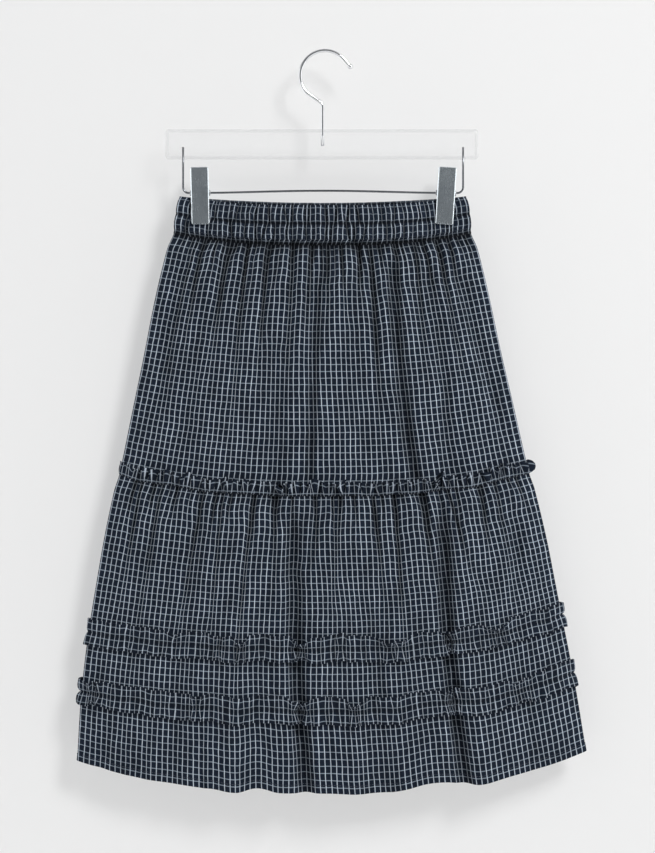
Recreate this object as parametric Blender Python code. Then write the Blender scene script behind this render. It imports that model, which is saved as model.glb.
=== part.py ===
"""Tiered ruffle skirt hanging from a clear clip hanger.

Metres, +Z up, +X to the right of someone looking at the front, the front faces -Y.
The origin is the inside top of the hook, where a rail or a peg bears.
Lengths in the tables are millimetres, and MM turns them into metres.
"""

import math

import bmesh
import bpy
from mathutils import Matrix, Vector

MM = 0.001
GAP = 0.3  # clearance between pieces that touch

# Cloth walls
PANEL_WALL = 1.8
BAND_WALL = 2.6
TRIM_WALL = 1.2

# Grid of the cloth: cells from one side seam to the other
COLUMNS = 32
SAG_POWER = 2.5  # how a row of the cloth dips between its two ends
LENS_POWER = 4  # how the tube closes towards its side seams
GAPE_REACH = 0.72  # share of the waist that gapes between the two clips
BACK_RISE = 4.5  # the back's waist edge hangs this much higher at the middle
FREE_OF_CLIPS = (0.76, 1.5)  # rows over which the cloth opens out below the clips

# Heights that a row of the cloth passes: "down" counts the sewn stages from the waist
WAIST_TOP = 0.0
WAIST_SEAM = 1.0
HEM = 3.0

# Outline of the skirt, one row for each level of the cloth
OUTLINE_COLUMNS = ("down", "left_x", "right_x", "left_z", "middle_z", "right_z", "depth")
OUTLINE = (
    (0.00, -165, 160, -165, -176, -165, 9.0),
    (0.50, -169, 164, -184, -196, -184, 10.0),
    (1.00, -171, 165, -203, -217, -203, 12.0),
    (1.33, -195, 189, -295, -311, -295, 16.0),
    (1.67, -215, 211, -388, -407, -387, 17.0),
    (2.00, -234, 232, -480, -503, -478, 17.5),
    (2.25, -253, 253, -566, -589, -561, 19.0),
    (2.53, -269, 269, -659, -677, -639, 20.0),
    (2.735, -277, 282, -726, -747, -705, 20.5),
    (3.00, -282, 297, -805, -839, -794, 21.0),
)

# Lasting folds: each runs down the cloth from one place to another and presses it in
FOLD_COLUMNS = ("start", "end", "across_start", "across_end", "half_width", "press")
FOLDS = {
    "front": (
        (1.02, 1.80, -0.89, -0.86, 15, 5.0),
        (1.05, 1.55, -0.55, -0.48, 16, 4.0),
        (1.02, 2.00, -0.31, -0.23, 20, 5.5),
        (1.02, 2.00, -0.02, -0.08, 14, 6.0),
        (1.02, 2.00, 0.42, 0.47, 16, 7.5),
        (1.05, 2.00, 0.65, 0.60, 16, 5.5),
        (1.10, 1.90, 0.84, 0.92, 15, 5.0),
        (2.00, 2.45, -0.57, -0.57, 18, 4.5),
        (2.00, 3.00, -0.18, -0.10, 22, 9.0),
        (2.00, 3.00, 0.55, 0.53, 20, 9.5),
        (2.05, 2.40, 0.88, 0.84, 15, 4.5),
    ),
    "back": (
        (1.02, 1.70, -0.82, -0.88, 15, 5.0),
        (1.02, 2.00, -0.50, -0.56, 18, 7.0),
        (1.05, 1.60, -0.22, -0.18, 16, 4.5),
        (1.02, 2.00, 0.12, 0.16, 16, 6.5),
        (1.05, 1.80, 0.48, 0.50, 18, 5.0),
        (1.02, 2.00, 0.78, 0.84, 15, 5.5),
        (2.00, 3.00, -0.42, -0.36, 22, 8.5),
        (2.00, 2.60, 0.02, 0.05, 18, 5.0),
        (2.00, 3.00, 0.34, 0.40, 20, 9.0),
        (2.05, 2.50, 0.74, 0.76, 16, 4.5),
    ),
}
FOLD_FADE = 0.3  # stages over which a fold dies away at its ends

# Levels of the rows of each panel, and of the trims that lie on them
BAND_LEVELS = (0.0, 0.4, 0.76, 1.0)
HEADING_LEVELS = (1.961, 2.0)
UPPER_LEVELS = (1.0, 1.1, 1.23, 1.36, 1.5, 1.65, 1.82) + HEADING_LEVELS
RUFFLES = (
    ("ruffle_upper", (2.487, 2.53, 2.573)),
    ("ruffle_lower", (2.692, 2.735, 2.778)),
)
LOWER_LEVELS = (2.0, 2.16, 2.32) + RUFFLES[0][1] + RUFFLES[1][1] + (2.89, 3.0)

# Trims: how far their free edges stand off the panel, in even and uneven waves
HEADING_FLARE = 2.2
RUFFLE_FLARE = 2.6
WAVES_ROUND = 23
SIDE_BULGE = 2.2  # how far a trim stands out where it turns round a side

# Hanger bar
BAR_LEFT = -181.7
BAR_RIGHT = 174.3
BAR_TOP = -87.6
BAR_BOTTOM = -122.0
BAR_THICK = 9.0
BAR_EDGE = 1.2
BORE_SIDES = 24

# Hook
HOOK_WIRE = 4.0
HOOK_RADIUS = 28.4  # to the middle of the wire
STEM_X = -2.8
STEM_FOOT = -106.6
KINK_Z = -58.3
KINK_RADIUS = 4.0
ARC_START = 225.0
ARC_END = 40.0
TAIL = 10.5
TIP_RADIUS = 3.0

# Wire under the bar that the clips hang on
ROD_WIRE = 2.4
ROD_LEFT = -161.5
ROD_RIGHT = 157.0
ROD_TOP = -108.0
ROD_Z = -160.1
ROD_BEND = 6.5
ROD_BOW = 2.6

# Clips: place on the rod and lean of each
CLIP_COLUMNS = ("name", "x", "lean_degrees")
CLIPS = (
    ("left", -142.1, -1.1),
    ("right", 137.5, 3.4),
)
CLIP_WIDTH = 20.4
CLIP_INNER_WIDTH = 17.6
CLIP_METAL = 1.0
# Side view of a clip plate from its grip to its jaw; heights are from the rod
PLATE_COLUMNS = ("height", "face_y", "web", "flange")
PLATE = (
    (28.5, 10.2, 1.0, 1.0),
    (27.0, 10.1, 1.0, 2.4),
    (6.0, 7.9, 1.0, 2.4),
    (4.2, 7.8, 1.0, 10.4),
    (-3.6, 7.3, 1.0, 10.4),
    (-5.4, 7.2, 1.0, 2.2),
    (-34.9, 5.3, 1.0, 2.25),
    (-34.9, 5.3, 2.25, 2.25),
    (-36.2, 5.25, 2.2, 2.2),
)
EAR_RADIUS = 3.2
EAR_LENGTH = 2.4
SPRING_WIRE = 1.0
SPRING_RADIUS = 2.6
SPRING_TURNS = 4.5
SPRING_LENGTH = 9.0
SPRING_LEG = 15.0

# Colours
CLOTH_NAVY = (0.030, 0.040, 0.065)
TRIM_NAVY = (0.026, 0.035, 0.058)
CHROME = (0.62, 0.64, 0.66)
ACRYLIC = (0.93, 0.95, 0.96)

SIDES = (("front", -1), ("back", 1))


def clear_scene():
    for item in list(bpy.data.objects):
        bpy.data.objects.remove(item, do_unlink=True)


def material(name, colour, roughness, metallic, transmission=0.0):
    made = bpy.data.materials.new(name)
    made.use_nodes = True
    shader = made.node_tree.nodes["Principled BSDF"]
    shader.inputs["Base Color"].default_value = (*colour, 1.0)
    shader.inputs["Roughness"].default_value = roughness
    shader.inputs["Metallic"].default_value = metallic
    shader.inputs["Transmission Weight"].default_value = transmission
    made.diffuse_color = (*colour, 1.0)
    return made


def link(name, data, finish):
    item = bpy.data.objects.new(name, data)
    data.materials.append(finish)
    bpy.context.scene.collection.objects.link(item)
    return item


def helper(item):
    """Mark an object that only cuts or adds to another."""
    item.hide_render = True
    item.display_type = "WIRE"


def mesh_object(name, points, faces, finish, smooth=False):
    """A mesh from points in millimetres, with its faces turned outwards."""
    mesh = bpy.data.meshes.new(name)
    made = bmesh.new()
    corners = [made.verts.new(Vector(point) * MM) for point in points]
    for face in faces:
        made.faces.new([corners[index] for index in face])
    bmesh.ops.recalc_face_normals(made, faces=made.faces)
    made.to_mesh(mesh)
    made.free()
    if smooth:
        mesh.shade_smooth()
    return link(name, mesh, finish)


def ease(share):
    """Smooth step from 0 to 1."""
    share = min(max(share, 0.0), 1.0)
    return share * share * (3 - 2 * share)


# ---------------------------------------------------------------- the cloth


def outline_at(down):
    """The outline row at a level, read between the rows of the table."""
    for first, second in zip(OUTLINE, OUTLINE[1:]):
        if down <= second[0]:
            share = (down - first[0]) / (second[0] - first[0])
            row = [a + (b - a) * share for a, b in zip(first, second)]
            return dict(zip(OUTLINE_COLUMNS, row))
    return dict(zip(OUTLINE_COLUMNS, OUTLINE[-1]))


def press_of_folds(side, across, down, half):
    """How far the folds press the cloth in at one place."""
    total = 0.0
    for values in FOLDS[side]:
        fold = dict(zip(FOLD_COLUMNS, values))
        share = (down - fold["start"]) / (fold["end"] - fold["start"])
        middle = fold["across_start"] + (fold["across_end"] - fold["across_start"]) * share
        aside = abs(across - middle) * half / fold["half_width"]
        if aside >= 1 or share < 0 or share > 1:
            continue
        fade = ease((down - fold["start"]) / FOLD_FADE)
        if fold["end"] < HEM:
            fade *= ease((fold["end"] - down) / FOLD_FADE)
        total += fold["press"] * fade * (1 + math.cos(math.pi * aside)) / 2
    return total


def panel_point(side, sign, across, down, lift=0.0):
    """A point of the panel's inner face, moved outwards by lift."""
    row = outline_at(down)
    half = (row["right_x"] - row["left_x"]) / 2
    centre = (row["right_x"] + row["left_x"]) / 2
    end_z = row["left_z"] if across < 0 else row["right_z"]
    dip = 1 - abs(across) ** SAG_POWER
    lens = 1 - abs(across) ** LENS_POWER
    gape = max(0.0, 1 - (across / GAPE_REACH) ** 2) ** 2
    freed = ease((down - FREE_OF_CLIPS[0]) / (FREE_OF_CLIPS[1] - FREE_OF_CLIPS[0]))
    body = row["depth"] * (gape + (lens - gape) * freed)
    body = max(0.0, body - press_of_folds(side, across, down, half))
    reach = GAP / 2 + body + lift
    middle_z = row["middle_z"]
    if side == "back" and down < WAIST_SEAM:
        middle_z += BACK_RISE * (WAIST_SEAM - down)
    return (centre + half * across, sign * reach, end_z + (middle_z - end_z) * dip)


def columns_across():
    return [-1 + 2 * index / COLUMNS for index in range(COLUMNS + 1)]


def shell_faces(count, levels, closed):
    """Triangles of a wall of two grids: inner points first, then outer points."""
    outer = count * levels
    spans = count if closed else count - 1
    faces = []
    for level in range(levels - 1):
        for column in range(spans):
            a = level * count + column
            b = level * count + (column + 1) % count
            c, d = b + count, a + count
            faces += [(a, b, c), (a, c, d)]
            faces += [(a + outer, c + outer, b + outer), (a + outer, d + outer, c + outer)]
    for level in (0, levels - 1):
        for column in range(spans):
            a = level * count + column
            b = level * count + (column + 1) % count
            faces += [(a, b, b + outer), (a, b + outer, a + outer)]
    if not closed:
        for column in (0, count - 1):
            for level in range(levels - 1):
                a = level * count + column
                b = a + count
                faces += [(a, b, b + outer), (a, b + outer, a + outer)]
    return faces


def panel(name, side, sign, levels, wall, finish):
    """One flat-hung cloth panel as a wall, a little short of its neighbours' edges."""
    columns = columns_across()
    points = []
    for lift in (0.0, wall):
        for level in levels:
            for across in columns:
                x, y, z = panel_point(side, sign, across, level, lift)
                if level == levels[0] and level > WAIST_TOP:
                    z -= GAP / 2
                if level == levels[-1] and level < HEM:
                    z += GAP / 2
                points.append((x, y, z))
    faces = shell_faces(len(columns), len(levels), closed=False)
    return mesh_object(name, points, faces, finish)


def wave(position, seed):
    """An uneven frill, from 0 to 1, round the whole skirt."""
    turn = 2 * math.pi * position
    first = math.sin(WAVES_ROUND * turn + seed)
    second = math.sin((WAVES_ROUND + 8) * turn + 2.3 * seed)
    return 0.5 + 0.3 * first + 0.2 * second


def trim(name, levels, flares, under, seed, finish):
    """A strip sewn all round, made from the panels' points moved out."""
    columns = columns_across()
    count = len(columns)
    places = [("front", -1, across) for across in columns]
    places.append(("turn", 0, 1))
    places += [("back", 1, across) for across in reversed(columns)]
    places.append(("turn", 0, -1))
    points = []
    for lift in (0.0, TRIM_WALL):
        for level, flare in zip(levels, flares):
            for index, (side, sign, across) in enumerate(places):
                stand = GAP + flare * wave(index / (2 * count + 2), seed)
                if side == "turn":
                    x, y, z = panel_point("front", -1, across, level)
                    points.append((x + across * (stand + lift + SIDE_BULGE), 0.0, z))
                else:
                    points.append(panel_point(side, sign, across, level, under + stand + lift))
    faces = shell_faces(len(places), len(levels), closed=True)
    return mesh_object(name, points, faces, finish)


def build_skirt():
    cloth = material("check_cloth", CLOTH_NAVY, 0.85, 0.0)
    frill = material("frill_cloth", TRIM_NAVY, 0.88, 0.0)
    for side, sign in SIDES:
        panel(f"waistband_{side}", side, sign, BAND_LEVELS, BAND_WALL, cloth)
        panel(f"upper_tier_{side}", side, sign, UPPER_LEVELS, PANEL_WALL, cloth)
        panel(f"lower_tier_{side}", side, sign, LOWER_LEVELS, PANEL_WALL, cloth)
    trim("heading_frill", HEADING_LEVELS, (HEADING_FLARE, 0.0), PANEL_WALL, 0.7, frill)
    for seed, (name, levels) in enumerate(RUFFLES, start=2):
        flares = (RUFFLE_FLARE, 0.0, RUFFLE_FLARE)
        trim(name, levels, flares, PANEL_WALL, seed, frill)


# ---------------------------------------------------------------- the hanger


def rod_object(name, points, diameter, finish, sides=8, radii=None):
    """A round rod along points in millimetres, as a bevelled curve with filled caps."""
    curve = bpy.data.curves.new(name, "CURVE")
    curve.dimensions = "3D"
    curve.bevel_depth = diameter / 2 * MM
    curve.bevel_resolution = (sides - 4) // 2
    curve.use_fill_caps = True
    spline = curve.splines.new("POLY")
    spline.points.add(len(points) - 1)
    for index, point in enumerate(points):
        spline.points[index].co = (*(Vector(point) * MM), 1.0)
        spline.points[index].radius = radii[index] if radii else 1.0
    return link(name, curve, finish)


def arc(centre_x, centre_z, radius, start, end, steps):
    """Points of an arc in the XZ plane, angles in degrees from +X towards +Z."""
    turns = [math.radians(start + (end - start) * i / steps) for i in range(steps + 1)]
    return [
        (centre_x + radius * math.cos(turn), 0.0, centre_z + radius * math.sin(turn))
        for turn in turns
    ]


def cylinder_along(axis, name, centre, radius, length, finish):
    """A closed cylinder on X or Z, for bores and ears."""
    mesh = bpy.data.meshes.new(name)
    made = bmesh.new()
    turn = Matrix.Rotation(math.pi / 2, 4, "Y") if axis == "X" else Matrix.Identity(4)
    bmesh.ops.create_cone(
        made,
        cap_ends=True,
        segments=BORE_SIDES,
        radius1=radius * MM,
        radius2=radius * MM,
        depth=length * MM,
        matrix=Matrix.Translation(Vector(centre) * MM) @ turn,
    )
    made.to_mesh(mesh)
    made.free()
    return link(name, mesh, finish)


def boolean(item, other, operation):
    modifier = item.modifiers.new(f"{operation}_{other.name}".lower(), "BOOLEAN")
    modifier.operation = operation
    modifier.object = other
    modifier.solver = "EXACT"
    helper(other)


def build_bar(acrylic):
    width = BAR_RIGHT - BAR_LEFT
    height = BAR_TOP - BAR_BOTTOM
    middle = ((BAR_LEFT + BAR_RIGHT) / 2, 0.0, (BAR_TOP + BAR_BOTTOM) / 2)
    mesh = bpy.data.meshes.new("hanger_bar")
    made = bmesh.new()
    size = Matrix.Diagonal((width * MM, BAR_THICK * MM, height * MM, 1.0))
    place = Matrix.Translation(Vector(middle) * MM)
    bmesh.ops.create_cube(made, size=1.0, matrix=place @ size)
    bmesh.ops.bevel(
        made,
        geom=list(made.edges),
        offset=BAR_EDGE * MM,
        segments=2,
        profile=0.5,
        affect="EDGES",
    )
    made.to_mesh(mesh)
    made.free()
    bar = link("hanger_bar", mesh, acrylic)
    past = 5.0  # how far a cutter starts outside the bar
    bores = (
        ("bore_stem", STEM_X, HOOK_WIRE, STEM_FOOT - GAP, BAR_TOP + past),
        ("bore_left", ROD_LEFT, ROD_WIRE, BAR_BOTTOM - past, ROD_TOP + GAP),
        ("bore_right", ROD_RIGHT, ROD_WIRE, BAR_BOTTOM - past, ROD_TOP + GAP),
    )
    for name, x, wire, low, high in bores:
        centre = (x, 0.0, (low + high) / 2)
        cutter = cylinder_along("Z", name, centre, wire / 2 + GAP, high - low, acrylic)
        boolean(bar, cutter, "DIFFERENCE")


def build_hook(chrome):
    """Stem, kink, arc over the rail and a round tip."""
    centre_z = HOOK_WIRE / 2 - HOOK_RADIUS
    over = arc(0.0, centre_z, HOOK_RADIUS, ARC_START, ARC_END, 22)
    rise = Vector(over[0]) - Vector((STEM_X, 0.0, KINK_Z))
    lean = math.atan2(rise.z, rise.x) - math.pi / 2
    setback = KINK_RADIUS * math.tan(lean / 2)
    corner_x = STEM_X - KINK_RADIUS
    kink = arc(corner_x, KINK_Z - setback, KINK_RADIUS, 0.0, math.degrees(lean), 3)
    points = [(STEM_X, 0.0, STEM_FOOT)] + kink + over
    radii = [1.0] * len(points)
    end = Vector(over[-1])
    ahead = math.radians(ARC_END)
    heading = Vector((math.sin(ahead), 0.0, -math.cos(ahead)))
    wire = HOOK_WIRE / 2
    neck = math.sqrt(TIP_RADIUS**2 - wire**2)
    for slant in (math.asin(-neck / TIP_RADIUS), -0.3, 0.25, 0.75, 1.2):
        along = TAIL + neck + TIP_RADIUS * math.sin(slant)
        points.append(tuple(end + heading * along))
        radii.append(TIP_RADIUS * math.cos(slant) / wire)
    rod_object("hanger_hook", points, HOOK_WIRE, chrome, sides=10, radii=radii)


def build_wire(chrome):
    """The thin rod let into the bar at both ends, bowed up a little between the clips."""
    left = arc(ROD_LEFT + ROD_BEND, ROD_Z + ROD_BEND, ROD_BEND, 180.0, 270.0, 5)
    right = arc(ROD_RIGHT - ROD_BEND, ROD_Z + ROD_BEND, ROD_BEND, 270.0, 360.0, 5)
    start, end = left[-1][0], right[0][0]
    steps = 14
    run = []
    for index in range(1, steps):
        share = index / steps
        run.append((start + (end - start) * share, 0.0, rod_height(share)))
    points = [(ROD_LEFT, 0.0, ROD_TOP)] + left + run + right + [(ROD_RIGHT, 0.0, ROD_TOP)]
    rod_object("hanger_wire", points, ROD_WIRE, chrome)


def rod_height(share):
    return ROD_Z + ROD_BOW * math.sin(math.pi * share) ** 2


def plate_points(sign, width):
    """Rings of a sheet-metal channel, one for each row of the plate's side view."""
    points = []
    half = width / 2
    for values in PLATE:
        row = dict(zip(PLATE_COLUMNS, values))
        face = row["face_y"]
        web = face - row["web"]
        edge = face - max(row["flange"], row["web"])
        inner = half - CLIP_METAL
        ring = (
            (-half, edge),
            (-half, face),
            (half, face),
            (half, edge),
            (inner, edge),
            (inner, web),
            (-inner, web),
            (-inner, edge),
        )
        points += [(x, sign * y, row["height"]) for x, y in ring]
    return points


def loft_faces(rings, corners):
    """Quads between rings and a cap on each end ring, split into three clean parts."""
    faces = []
    for ring in range(rings - 1):
        for corner in range(corners):
            a = ring * corners + corner
            b = ring * corners + (corner + 1) % corners
            faces.append((a, b, b + corners, a + corners))
    for base in (0, (rings - 1) * corners):
        faces += [
            (base + 0, base + 1, base + 6, base + 7),
            (base + 1, base + 2, base + 5, base + 6),
            (base + 2, base + 3, base + 4, base + 5),
        ]
    return faces


def build_clip(name, x, lean, chrome):
    """Front plate with round ears, back plate nested in it, and the spring between."""
    pose = Matrix.Translation((x * MM, 0.0, ROD_Z * MM)) @ Matrix.Rotation(math.radians(lean), 4, "Y")
    bore_radius = ROD_WIRE / 2 + 2 * GAP
    for side, sign in SIDES:
        width = CLIP_WIDTH if side == "front" else CLIP_INNER_WIDTH
        faces = loft_faces(len(PLATE), 8)
        plate = mesh_object(f"clip_{name}_{side}", plate_points(sign, width), faces, chrome)
        plate.matrix_world = pose
        if side == "front":
            for hand in (-1, 1):
                middle = hand * (CLIP_WIDTH + EAR_LENGTH - CLIP_METAL) / 2
                ear_name = f"ear_{name}_{'left' if hand < 0 else 'right'}"
                centre = (middle, 0.0, 0.0)
                ear = cylinder_along("X", ear_name, centre, EAR_RADIUS, EAR_LENGTH, chrome)
                ear.matrix_world = pose
                boolean(plate, ear, "UNION")
        bore = cylinder_along(
            "X", f"bore_{name}_{side}", (x, 0.0, ROD_Z), bore_radius, 2 * CLIP_WIDTH, chrome
        )
        boolean(plate, bore, "DIFFERENCE")
    rod_object(f"clip_{name}_spring", spring_points(x), SPRING_WIRE, chrome, sides=6)


def spring_points(x):
    """A coil round the rod, with a leg up the inside of each plate."""
    steps = 10
    total = round(SPRING_TURNS * steps)
    coil = []
    for index in range(total + 1):
        turn = 2 * math.pi * index / steps
        along = SPRING_LENGTH * (index / total - 0.5)
        coil.append(
            (
                x + along,
                -SPRING_RADIUS * math.cos(turn),
                ROD_Z + SPRING_RADIUS * math.sin(turn),
            )
        )
    grip = 6.9  # reach of a leg's end from the middle of the clip
    reach = ROD_Z + SPRING_LEG
    first = (x - SPRING_LENGTH / 2, -grip, reach)
    last = (x + SPRING_LENGTH / 2, grip, reach)
    return [first] + coil + [last]


def build_hanger():
    acrylic = material("clear_acrylic", ACRYLIC, 0.05, 0.0, transmission=0.9)
    chrome = material("bright_chrome", CHROME, 0.2, 1.0)
    build_bar(acrylic)
    build_hook(chrome)
    build_wire(chrome)
    for values in CLIPS:
        build_clip(*values, chrome)


clear_scene()
build_skirt()
build_hanger()
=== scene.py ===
"""Looks of the tiered ruffle skirt on its clear clip hanger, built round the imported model.

Metres, +Z up, the front faces -Y, and the origin is the inside top of the hook.
Lengths in the tables are millimetres, and MM turns them into metres. "down" counts the sewn
stages of the cloth: 0 waist edge, 1 waist seam, 2 seam between the tiers, 3 hem. "across" runs
from -1 at the left side seam to +1 at the right one.
"""

import math

import bmesh
import bpy
import numpy as np
from mathutils import Matrix, Vector


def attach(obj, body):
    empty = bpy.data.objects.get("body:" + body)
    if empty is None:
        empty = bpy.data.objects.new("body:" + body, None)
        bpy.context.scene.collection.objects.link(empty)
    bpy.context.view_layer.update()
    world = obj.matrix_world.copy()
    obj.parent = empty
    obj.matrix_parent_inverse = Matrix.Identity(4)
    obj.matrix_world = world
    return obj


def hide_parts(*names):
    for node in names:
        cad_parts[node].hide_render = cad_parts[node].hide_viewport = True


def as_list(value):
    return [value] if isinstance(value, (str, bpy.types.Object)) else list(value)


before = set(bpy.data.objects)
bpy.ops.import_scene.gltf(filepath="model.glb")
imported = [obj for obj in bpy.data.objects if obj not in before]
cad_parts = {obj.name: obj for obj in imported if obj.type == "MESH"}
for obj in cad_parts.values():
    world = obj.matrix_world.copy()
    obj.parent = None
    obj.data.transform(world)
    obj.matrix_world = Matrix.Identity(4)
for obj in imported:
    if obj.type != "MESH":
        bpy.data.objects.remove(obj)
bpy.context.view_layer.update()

MM = 0.001
TURN = 2 * math.pi
WAIST_SEAM, TIER_SEAM, HEM = 1.0, 2.0, 3.0
SIGNS = {"front": -1, "back": 1}

# ------------------------------------------------------------------ sizes of the skirt

OUTLINE_COLUMNS = ("down", "left_x", "right_x", "left_z", "middle_z", "right_z", "depth")
OUTLINE = (
    (0.00, -165, 160, -165, -176, -165, 9.0),
    (0.50, -169, 164, -184, -196, -184, 10.0),
    (1.00, -171, 165, -203, -217, -203, 12.0),
    (1.33, -195, 189, -295, -311, -295, 16.0),
    (1.67, -215, 211, -388, -407, -387, 17.0),
    (2.00, -234, 232, -480, -503, -478, 17.5),
    (2.25, -253, 253, -566, -589, -561, 19.0),
    (2.53, -269, 269, -659, -677, -639, 20.0),
    (2.735, -277, 282, -726, -747, -705, 20.5),
    (3.00, -282, 297, -805, -839, -794, 21.0),
)
SAG_POWER = 2.5  # how squarely each level dips from the side seams to its middle
LENS_POWER = 4  # how squarely the section swells from the side seams to its middle
GAPE_REACH = 0.72  # how far across the waist gapes between the clips
FREE_OF_CLIPS = (0.76, 1.5)  # levels between which that gape widens to the whole section
BACK_RISE = 4.5  # how much higher the waist edge dips at the back
SEAM_GAP = 0.3
SIDE_ROUND = 2.0  # radius of the cloth where it turns at a side seam
END_POWER = 10  # how close to a side seam the rows of the check stop bending
TYPICAL_HALF = 250.0  # half width that the columns of the meshes are laid out for
BAND_HALF = 166.0  # half width of the waistband

# Cloth lengths down the middle, at the stages of "down"
CLOTH_STAGES = (0.0, 1.0, 2.0, 3.0)
CLOTH_LENGTHS = (0.0, 41.0, 325.0, 660.0)

# Each half of a tier, front or back, as cut, and how far its cut starts from a line of the check
CUT_COLUMNS = ("wide", "long", "start")
CUTS = {
    "waistband": (430.0, 86.0, 1.5),
    "upper_tier": (500.0, 284.0, 1.0),
    "lower_tier": (640.0, 344.0, -3.2),
}
CLOTH_THICK = 0.5
CHECK_ACROSS = 6.5  # pitch of the lines that run down the cloth
CHECK_DOWN = 7.7  # pitch of the lines that run across it

# Cloth that puffs out just under a gathered seam
PUFF_COLUMNS = ("seam", "deepest", "end", "side_reach", "face_reach")
PUFFS = (
    (1.00, 1.08, 1.55, 3.2, 4.6),
    (2.00, 2.06, 2.40, 1.8, 3.6),
)
SEAM_PINCH, SEAM_PINCH_REACH = 1.6, 0.016  # how far a seam draws the cloth in
LOOSE_TOP, LOOSE_TOP_END = 2.0, 0.35  # how far the lower tier starts proud of the upper one

# The waistband, and where the clips hold it flat
BAND_BULGE = 1.3  # how far each channel stands out at its ends
BAND_BEND = 0.45  # how far a gather bends the rows of the check
BAND_SWELL, BAND_STAND = 3.4, 0.2  # how far a channel swells out, and its stitching stands out
CHANNEL_HALF = 0.25  # half of a channel, in levels
CLIP_PLACES = (-142.3, 138.0)
CLIP_HALF, CLIP_SOFT = 12.3, 6.0
CLIP_FOOT, CLIP_FOOT_SOFT = 0.72, 0.16
CLIPPED_STAND = 0.1

# Places where the hem hangs a little higher or lower
HEM_COLUMNS = ("x", "half_width", "rise")
HEM_LIFTS = {
    "front": ((-76, 24, 4.0), (-105, 26, -2.5), (28, 34, -1.5), (126, 52, 7.0), (184, 40, -2.0)),
    "back": ((-120, 44, 5.0), (100, 50, 5.0)),
}
HEM_LIFT_START = 2.45

# Named folds: valleys where press is above 0, ridges where it is below
FOLD_COLUMNS = ("start", "end", "top", "middle", "bottom", "half_width", "press")
FOLDS = {
    "front": (
        (1.03, 1.80, -0.895, -0.872, -0.856, 13, 4.5),
        (1.04, 1.55, -0.555, -0.510, -0.483, 14, 3.2),
        (1.02, 1.32, -0.310, -0.322, -0.330, 9, 4.5),
        (1.30, 2.10, -0.285, -0.250, -0.230, 22, 4.5),
        (1.03, 2.08, -0.020, -0.055, -0.078, 9, 6.5),
        (1.01, 2.08, 0.445, 0.425, 0.460, 11, 9.0),
        (1.01, 2.00, 0.515, 0.495, 0.530, 12, -2.5),
        (1.04, 2.05, 0.650, 0.660, 0.590, 12, 4.8),
        (1.06, 1.92, 0.845, 0.880, 0.935, 12, 4.5),
        (1.20, 1.90, 0.180, 0.200, 0.170, 24, 2.4),
        (1.15, 1.95, -0.680, -0.700, -0.690, 20, 2.4),
        (2.00, 2.22, -0.860, -0.865, -0.870, 10, 2.4),
        (2.00, 2.45, -0.575, -0.570, -0.570, 16, 3.8),
        (2.00, 3.20, -0.148, -0.122, -0.084, 14, 10.5),
        (2.05, 3.20, -0.208, -0.184, -0.148, 14, -3.0),
        (2.00, 2.34, -0.044, -0.057, -0.120, 8, 4.8),
        (2.00, 3.20, 0.565, 0.515, 0.538, 13, 11.5),
        (2.05, 3.20, 0.625, 0.585, 0.610, 16, -3.0),
        (2.02, 2.42, 0.880, 0.860, 0.840, 12, 3.8),
        (2.30, 3.20, 0.230, 0.210, 0.240, 26, 3.0),
        (2.45, 3.20, -0.560, -0.600, -0.640, 26, 3.0),
        (2.55, 3.20, 0.790, 0.800, 0.790, 24, 3.0),
        (2.78, 3.20, -0.860, -0.900, -0.930, 13, 3.6),
    ),
    "back": (
        (1.03, 1.72, -0.820, -0.850, -0.880, 13, 4.5),
        (1.02, 2.06, -0.500, -0.535, -0.560, 12, 7.5),
        (1.02, 2.00, -0.430, -0.465, -0.490, 13, -2.5),
        (1.04, 1.62, -0.220, -0.200, -0.180, 13, 4.2),
        (1.02, 2.06, 0.120, 0.150, 0.160, 10, 7.0),
        (1.05, 1.80, 0.480, 0.470, 0.500, 15, 4.6),
        (1.02, 2.00, 0.780, 0.800, 0.840, 12, 5.0),
        (1.25, 1.95, -0.040, -0.020, -0.030, 24, 2.4),
        (2.00, 3.20, -0.420, -0.380, -0.360, 14, 9.5),
        (2.00, 2.60, 0.020, 0.030, 0.050, 14, 5.0),
        (2.00, 3.20, 0.340, 0.385, 0.400, 13, 10.5),
        (2.05, 2.50, 0.740, 0.750, 0.760, 14, 4.2),
        (2.02, 2.40, -0.800, -0.790, -0.780, 14, 3.6),
        (2.35, 3.20, -0.120, -0.100, -0.080, 26, 3.2),
        (2.50, 3.20, 0.700, 0.720, 0.740, 26, 3.0),
        (2.70, 3.20, -0.820, -0.850, -0.860, 18, 3.4),
    ),
}
FOLD_FADE = 0.16
FOLD_PLEAT_PRESS = 5.0  # press at which a fold hides as much cloth again

# Gathers: small puckers that start at a seam. Ranges are (least, most)
GATHER_COLUMNS = ("seam", "way", "count", "length", "half_width", "height", "drift")
GATHERS = (
    (0.97, 1, 42, (0.08, 0.40), (2.8, 8.0), (2.6, 7.0), 0.022),
    (0.97, 1, 22, (0.35, 1.10), (6.5, 11.0), (3.0, 6.0), 0.030),
    (1.97, 1, 60, (0.06, 0.26), (2.6, 7.0), (2.2, 5.8), 0.014),
    (1.97, 1, 22, (0.26, 0.95), (6.5, 11.0), (2.6, 5.4), 0.030),
    (2.00, -1, 46, (0.03, 0.11), (3.0, 6.0), (0.9, 2.2), 0.006),
    (3.20, -1, 18, (0.30, 0.60), (9.0, 17.0), (1.0, 2.4), 0.010),
)
BAND_CHANNELS = (
    (-0.2, 1, 38, (1.0, 1.0), (2.4, 5.8), (1.6, 4.6), 0.060),
    (0.5, 1, 44, (1.0, 1.0), (2.4, 5.4), (1.6, 4.6), 0.060),
)
GATHER_SEEDS = {"front": 11, "back": 47}
GATHER_SHIFT, GATHER_END = 0.42, 0.985
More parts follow.
